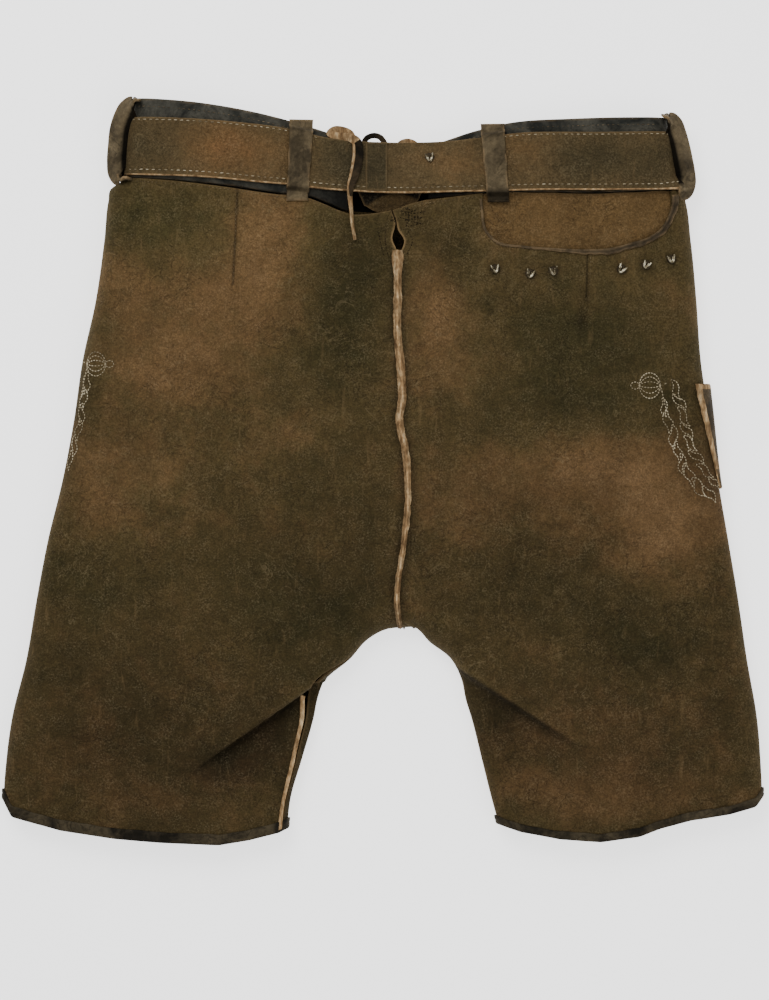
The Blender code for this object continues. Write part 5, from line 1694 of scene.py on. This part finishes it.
class BREECHES_OT_pockets(bpy.types.Operator):
    """Make the hip pocket's inner piece and edge, the side pocket and the piece under the notch"""
    bl_idname = "breeches.pockets"
    bl_label = "Pockets and Notch"

    def execute(self, context):
        opening = line_points(POCKET_OPENING, np.linspace(0, 1, 60))
        edge_x = opening[:, 0] + np.sign(opening[:, 0] - opening[:, 0].mean()) * 2 * MM
        edge_y = opening[:, 1] - 7 * MM
        x = np.linspace(edge_x[0], edge_x[-1], 110)
        order = np.argsort(edge_x, kind="stable")
        top = line_height(BACK_SEAM, x) - SEAM_GAP / 2
        bottom = np.minimum(np.interp(x, edge_x[order], edge_y[order]), top - 6 * MM)
        plan = [plan_of(x, top + (bottom - top) * t) for t in np.linspace(0, 1, 44)]
        points = patch_points(np.array(plan))
        under = -LEATHER - INNER_POCKET_GAP
        low = under - INNER_POCKET_THICKNESS
        inner = shell("hip_pocket_inner", points, low, under, outwards=facing(points))
        tint(dressed(inner, pocket_nubuck()), warm=0.1)
        fractions = np.linspace(0.03, 0.985, 240)
        line = line_points(POCKET_OPENING, fractions)
        breadth = (1.7 + 2.5 * ease((fractions - 0.35) / 0.3)) * MM
        breadth = breadth * (1 + 0.06 * np.sin(fractions * 61) + 0.05 * np.sin(fractions * 143))
        across = np.linspace(0, 1, 9)
        width = np.stack([-SEAM_GAP - breadth * share for share in across], axis=1)
        points = patch_points(ribbon_plan(line, width))
        dip = 0.5 * MM * bell(across - 0.55, 0.12)[:, None] * (breadth > 2 * MM)
        high = SEAM_GAP + BINDING_THICKNESS - dip
        edge = shell("hip_pocket_edge", points, SEAM_GAP, high, outwards=facing(points))
        tint(dressed(edge, edge_leather()))
        belongs(inner, "pocket_panel")
        belongs(edge, "pocket_binding")
        belongs(self.side_pocket(), "knife_pocket")
        self.notch_piece()
        return {"FINISHED"}

    def side_pocket(self):
        """The knife pocket round the side fold, with its gaping mouth and its raw edge and end."""
        points = []
        down = np.linspace(0, 1, 60)
        for t in down:
            y = (59 - 72 * t) * MM
            x = side_right(y) - ROLL_WIDTH * 2 * (1 - np.cos(np.linspace(math.pi / 2, 0, 121)))
            row = plan_of(x, y)
            path = garment_path(row)
            middle = chords(path)[len(row) - 1]
            ragged = 0.2 * MM * math.sin(t * 37) + 0.12 * MM * math.sin(t * 83 + 1)
            over = (15.5 - 11.5 * t**1.3) * MM
            points.append(resampled(path, spread(middle - over + ragged, middle + 4.5 * MM, 18)))
        gape = (SEAM_GAP + 2.4 * MM * (1 - down) ** 1.5)[:, None]
        made = shell("side_pocket", np.array(points), gape, gape + POCKET_THICKNESS)
        tint(dressed(made, edge_leather(), raw_leather()), shade=0.86)
        columns, rows = len(points[0]) - 1, len(points) - 1
        for face in made.data.polygons:
            row, column = divmod(face.index % (rows * columns), columns)
            rim = face.index >= 2 * rows * columns
            mouth = row < 0.05 * rows
            raw_strip = column < 6 and row < 0.8 * rows
            raw_end = row > 0.7 * rows and column > 7
            face.material_index = int(rim or mouth or raw_strip or raw_end)
        return made

    def notch_piece(self):
        """The piece under the notch, painted dark as shade above a lens-shaped part that stays light."""
        rows = []
        for t in np.linspace(0, 1, 44):
            half = (34 - 16 * t) * MM
            x = np.linspace(5 * MM - half, 6 * MM + half, 60)
            way = line_height(GUSSET_EDGE, x) - NOTCH_PIECE_TOP
            rows.append(plan_of(x, NOTCH_PIECE_TOP + way * t))
        points = patch_points(np.array(rows))
        under = -LEATHER - SEAM_GAP
        made = shell("notch_piece", points, under - POCKET_THICKNESS, under, outwards=facing(points))
        tint(made, warm=-0.25)
        at = vertices_of(made)
        # Painted shade over the piece, darkest above the lens under the belt.
        lens = 189.5 * MM - 6 * MM * ((at[:, 0] - 9 * MM) / (17 * MM)) ** 2
        paint(made, shade=0.6 * (1 - 0.9 * ease((at[:, 1] - lens) / (1.6 * MM))))
        belongs(dressed(made, pocket_nubuck()), "notch_gusset")


class BREECHES_OT_welts(bpy.types.Operator):
    """Make the raw strips over the centre back seam and the left inseam"""
    bl_idname = "breeches.welts"
    bl_label = "Raw Welts"

    def execute(self, context):
        fractions = np.linspace(0.098, 0.985, 460)
        line = line_points(CENTRE_BACK, fractions)
        line += ease((fractions - 0.95) / 0.035)[:, None] * (0.8 * MM, -3.6 * MM)
        head = bell(fractions - 0.118, 0.02)
        half = (2.9 - 1.0 * ease((fractions - 0.35) / 0.6) + 1.3 * head) * MM
        draw = np.random.default_rng(5)
        even = np.ones(9) / 9
        ragged = [np.convolve(draw.normal(0, 1, 470), even, "same")[:460] * 0.55 * MM for _ in (0, 1)]
        shares = np.array((1, 0.94, 0.8, 0.6, 0.42, 0.25, 0.1, 0.0))
        shares = np.concatenate([shares, -shares[-2::-1]])
        reach = half + np.where(shares[:, None] > 0, ragged[0], ragged[1])
        width = (reach * shares[:, None]).T
        points = patch_points(ribbon_plan(line, width))
        away = np.abs(shares)[:, None]
        ridge = 1.1 + 1.0 * bell(away, 0.45) + 0.3 * bell(away - 0.62, 0.12)
        bumps = 0.16 * waves(points[..., 0] * 3, points[..., 1], 61, 9 * MM)
        high = SEAM_GAP + (ridge + bumps) * MM
        made = shell("centre_welt", points, SEAM_GAP, high, soft=0.5 * MM, outwards=facing(points))
        # Painted highlight along the welt's middle; darker towards its edges and towards its lower end.
        fade = 0.74 + 0.55 * bell(away, 0.24) - 0.25 * bell(away - 0.5, 0.1)
        fade = fade * (1 - 0.45 * ease((fractions - 0.93) / 0.05))
        paint(made, shade=np.tile((fade + 0 * away).ravel(), 2), warm=0, edge=0)
        belongs(dressed(made, raw_leather()), "welt_centre_back")
        rows = []
        for row in half_rows(left=True, front=False)[:-1]:
            if row[0, 1] <= INSEAM_WELT_START:
                at = inseam_shift(True, row[0, 1]) + np.linspace(-1, 1, 9) * INSEAM_WELT_HALF
                rows.append(resampled(on(upper, row), at))
        points = all_laid(np.array(rows))
        made = shell("inseam_welt", points, SEAM_GAP, SEAM_GAP + BINDING_THICKNESS, soft=0.5 * MM)
        paint(made, shade=1.05, warm=0, edge=0)
        belongs(dressed(made, raw_leather()), "welt_inseam_left")
        return {"FINISHED"}


class BREECHES_OT_hem_edges(bpy.types.Operator):
    """Fold the dark edge bindings round both leg openings"""
    bl_idname = "breeches.hem_edges"
    bl_label = "Hem Bindings"

    def execute(self, context):
        belongs(self.binding("left_hem_edge", True, HEM_BINDING_WIDTH), "hem_binding_left")
        narrower = RIGHT_BINDING_SHARE * HEM_BINDING_WIDTH
        belongs(self.binding("right_hem_edge", False, narrower), "hem_binding_right")
        return {"FINISHED"}

    def binding(self, name, left, top):
        """A strip folded round a leg's edge; its profile goes round from the outer side's upper edge, top."""
        ends = []
        for grid in (finished_grid(left, False), finished_grid(left, True)):
            out = normals_of(grid)
            if ((grid[..., 2] - MIDDLE_HEIGHT) * out[..., 2]).sum() < 0:
                out = -out
            ends.append((grid[-1], grid[-8], out[-1], out[-8]))
        foot, head, out_foot, out_head = (np.concatenate(pair) for pair in zip(*ends))
        outer, inner = SEAM_GAP, -LEATHER - SEAM_GAP
        thick = BINDING_THICKNESS
        fold = -SEAM_GAP - thick
        profile = [(top, outer), (top, outer + 0.6 * thick)]
        for below, share in ((0.3, 0.95), (0.8, 1), (2.2, 1), (3.2, 0.8), (4.2, 1)):
            profile.append((top - below * MM, outer + share * thick))
        profile += [
            (0.2 * MM, outer + thick), (fold + 0.35 * MM, outer + 0.8 * thick), (fold, outer + 0.2 * thick),
            (fold, (outer + inner) / 2), (fold, inner - 0.2 * thick),
            (fold + 0.35 * MM, inner - 0.8 * thick), (0.2 * MM, inner - thick),
            (top - 0.4 * MM, inner - thick), (top, inner - 0.6 * thick), (top, inner),
            (-SEAM_GAP, inner), (-SEAM_GAP, outer),
        ]
        length = chords(np.concatenate([foot, foot[:1]]))[:-1]
        wobble = 0.35 * MM * np.sin(length / (7 * MM)) + 0.25 * MM * np.sin(length / (2.6 * MM) + 1)
        span = np.linalg.norm(head - foot, axis=1, keepdims=True)
        up_way, turn = (head - foot) / span, (out_head - out_foot) / span
        sections = []
        for up, out in profile:
            rise = up + (wobble * 0.6 if up > top - MM else 0)
            rise = np.broadcast_to(rise, len(foot))[:, None]
            sections.append(foot + up_way * rise + (out_foot + turn * np.maximum(rise, 0)) * out)
        made = swept(name, np.stack(sections, axis=1), closed=True)
        tint(made)
        return dressed(made, binding_leather())


class BREECHES_OT_claws(bpy.types.Operator):
    """Set the seven metal claws on the belt and under the hip pocket"""
    bl_idname = "breeches.claws"
    bl_label = "Claws"

    def execute(self, context):
        x, y, rise, turn = np.array(CLAWS, float).T
        points = on_top(x * MM, y * MM)
        points[:, 2] += rise * MM + CLAW_WIRE * 0.9 + SEAM_GAP
        made = mesh_object("claws", points, [])
        paint(made, turn=np.radians(turn))
        grown(
            made, claw_tree(), Width=CLAW_WIDTH, Wire_Radius=CLAW_WIRE, Seed=3, Material=old_nickel(),
            Bed_Material=edge_leather(),
        )
        paint(made, shade=0.7, warm=0, edge=0)
        belongs(made, *[f"stud_{k}" for k in range(1, 8)])
        return {"FINISHED"}


class BREECHES_OT_sewing(bpy.types.Operator):
    """Sew the belt, the waist, the darts, the slit and the edges"""
    bl_idname = "breeches.sewing"
    bl_label = "Sewing"

    def execute(self, context):
        sizes = context.scene.breeches
        numbers = [size / MM for size in (sizes.stitch_pitch, sizes.stitch_length, sizes.thread_width)]
        numbers += [sizes.irregularity, sizes.seed]
        runs = []
        for start, end, count, row in (
            (-172, -47, 120, UPPER_ROW), (72, 194, 120, UPPER_ROW), (-172, -13, 160, LOWER_ROW),
            (4, 205, 160, LOWER_ROW),
        ):
            runs.append(belt_top(np.linspace(start, end, count) * MM, row, -0.1 * MM))
        stitched("belt_stitching", runs, pale_thread(), numbers)
        waist = []
        for start, end in ((-168, -26), (33, 186)):
            x = np.linspace(start, end, 120) * MM
            waist.append(bare_top(x, band_height(BACK_SEAM, BACK_TOP, 0.9, x)) + (0, 0, 0.1 * MM))
        stitched("waistband_stitching", waist, dull_thread())
        seams = [top_line(corners) for corners in (
            [(-97, 195), (-99.4, 190), (-101.5, 160), (-103.5, 128)],
            [(143, 151), (142.2, 130), (141.5, 117)],
            [(66.5, 186), (67.2, 178), (70.8, 162.5), (78, 155.5), (95, 152.4), (112, 151)],
        )]
        for start, end in ((-172, -30), (22, 64)):
            x = np.linspace(start, end, 90)
            seams.append(top_line(plan_of(x, line_height(BACK_SEAM, x * MM) / MM - 2.4)))
        stitched("seam_stitching", seams, dull_thread())
        zigzag = [(12 + (k % 2) * 9 + k * 0.9, 180.5 - k * 2.2) for k in range(7)]
        mends = [top_line(ends, 0.35, 8) for ends in zip(zigzag, zigzag[1:])]
        mends += [top_line(corners, 0.35, 12) for corners in MENDING]
        stitched("repair_stitching", mends, dark_thread())
        return {"FINISHED"}


def leaf(length, breadth, curl):
    """The outline of a small curled oak leaf that points along +Y from its middle."""
    t = np.linspace(0, 1, 40)
    body = np.sin(math.pi * t) ** 0.8 * (1 + 0.12 * np.sin(4 * math.pi * t + 2.2)) * breadth / 2
    along, bend = (t - 0.5) * length, 1.3 * curl * np.sin(2 * math.pi * t)
    right, left = (plan_of(bend + side, along) for side in (body, -body))
    return np.concatenate([right, left[::-1]])


def acorn(size):
    """An acorn that lies on its side: its outline, its ribs from end to end, its tip and its stalk."""
    turns = np.linspace(0, 2 * math.pi, 44)
    rx, ry = 0.42 * size, 0.5 * size
    lines = [plan_of(np.cos(turns) * rx, np.sin(turns) * ry)]
    x = np.linspace(-0.97, 0.97, 24)
    for share in (-0.6, -0.16, 0.3, 0.68):
        lines.append(plan_of(x * rx, share * ry * (1 - x**2) ** 0.8))
    lines.append(plan_of(rx + 0.17 * size * (1 - np.cos(turns)), np.sin(turns) * 0.14 * size))
    lines.append(plan_of(np.linspace(-1, -1.5, 8) * rx, np.linspace(0, 0.16, 8) * ry))
    return lines


def turned(line, degrees):
    """A flat line turned to the left."""
    cos, sin = math.cos(math.radians(degrees)), math.sin(math.radians(degrees))
    return line @ np.array([[cos, sin], [-sin, cos]])


class BREECHES_OT_embroidery(bpy.types.Operator):
    """Embroider small oak leaves and acorns down both sides"""
    bl_idname = "breeches.embroidery"
    bl_label = "Embroidery"

    def execute(self, context):
        for name, left, acorn_at, size, leaves, stem in (
            ("left_embroidery", True, LEFT_ACORN, 16.5, LEFT_LEAVES, LEFT_STEM),
            ("right_embroidery", False, RIGHT_ACORN, 17.5, RIGHT_LEAVES, RIGHT_STEM),
        ):
            lines = [self.placed(line, acorn_at, left) for line in acorn(size)]
            for x, y, length, breadth, curl, tilt in leaves:
                lines.append(self.placed(turned(leaf(length, breadth, curl), tilt), (x, y), left))
            lines.append(top_line(stem, 0.12, 30))
            stitched(name, lines, pale_thread())
        return {"FINISHED"}

    def placed(self, line, middle, left):
        """A line of (inwards, y) in millimetres round a plan point, laid on the finished upper face."""
        side, way = (side_left, 1) if left else (side_right, -1)
        fine = np.linspace(0, 1, 3 * len(line))
        own = np.linspace(0, 1, len(line))
        inwards, along = (np.interp(fine, own, line[:, k]) * MM for k in (0, 1))
        points = []
        for step, y in zip(inwards, middle[1] * MM + along):
            row = plan_of(side(y) + way * np.linspace(0, 1, 70) ** 2 * 75 * MM, y)
            path = on(upper, row)
            start = np.interp(way * middle[0] * MM, way * row[:, 0], chords(path))
            points.append(resampled(path, [max(start + step, 0.4 * MM)])[0])
        finished = all_laid(np.array(points))
        x, y = finished[:, 0], finished[:, 1]
        slope = (upper(x + way * MM, y) - upper(x, y)) / MM
        out = unit(np.stack([-slope * way, 0 * slope, 0 * slope + 1], axis=1))
        return finished + out * 0.15 * MM


# Add-on ------------------------


class BreechesSettings(bpy.types.PropertyGroup):
    camera_middle: FloatVectorProperty(
        name="Camera Middle", description="Where the camera looks straight down", size=2,
        default=(0.001, -0.0207), unit="LENGTH")
    camera_height: FloatProperty(
        name="Camera Height", description="Height of the camera over the floor", default=2.4, min=0.3,
        unit="LENGTH")
    camera_cover: FloatProperty(
        name="Camera Cover", description="Length at the garment that the picture's long side covers",
        default=0.69, min=0.1, unit="LENGTH")
    key_energy: FloatProperty(
        name="Key Light", description="Energy of the light from the waist end", default=22.0, min=0.0,
        unit="POWER")
    sky_strength: FloatProperty(
        name="Sky", description="Strength of the white surroundings", default=0.55, min=0.0)
    floor_size: FloatProperty(
        name="Floor Size", description="Side of the square floor", default=5.0, min=0.7, unit="LENGTH")
    stitch_pitch: FloatProperty(
        name="Stitch Pitch", description="Length from one belt stitch to the next", default=4.2 * MM,
        min=0.5 * MM, unit="LENGTH")
    stitch_length: FloatProperty(
        name="Stitch Length", description="Length of thread that shows in a belt stitch", default=2.6 * MM,
        min=0.2 * MM, unit="LENGTH")
    thread_width: FloatProperty(
        name="Thread Width", description="Width of the belt's sewing thread", default=0.65 * MM, min=0.1 * MM,
        unit="LENGTH")
    irregularity: FloatProperty(
        name="Irregularity", description="How far stitches differ in size and turn", default=0.25, min=0.0,
        max=0.9, subtype="FACTOR")
    seed: IntProperty(name="Seed", description="Seed of the stitches' small differences", default=1, min=0)


class BREECHES_PT_panel(bpy.types.Panel):
    """Sizes, light and the steps that build the breeches"""
    bl_idname = "BREECHES_PT_panel"
    bl_label = "Breeches"
    bl_space_type = "VIEW_3D"
    bl_region_type = "UI"
    bl_category = "Breeches"

    def draw(self, context):
        column = self.layout.column()
        for key in BreechesSettings.__annotations__:
            column.prop(context.scene.breeches, key)
        for step in STEPS:
            column.operator(step.bl_idname)


STEPS = (
    BREECHES_OT_stage, BREECHES_OT_lace, BREECHES_OT_backs, BREECHES_OT_fronts, BREECHES_OT_waistband,
    BREECHES_OT_belt, BREECHES_OT_loops, BREECHES_OT_pockets, BREECHES_OT_welts, BREECHES_OT_hem_edges,
    BREECHES_OT_claws, BREECHES_OT_sewing, BREECHES_OT_embroidery,
)
CLASSES = (BreechesSettings, *STEPS, BREECHES_PT_panel)


def register():
    for cls in CLASSES:
        bpy.utils.register_class(cls)
    bpy.types.Scene.breeches = PointerProperty(type=BreechesSettings)


def unregister():
    del bpy.types.Scene.breeches
    for cls in reversed(CLASSES):
        bpy.utils.unregister_class(cls)


def main():
    register()
    for step in STEPS:
        area, name = step.bl_idname.split(".")
        getattr(getattr(bpy.ops, area), name)()


if __name__ == "__main__":
    main()
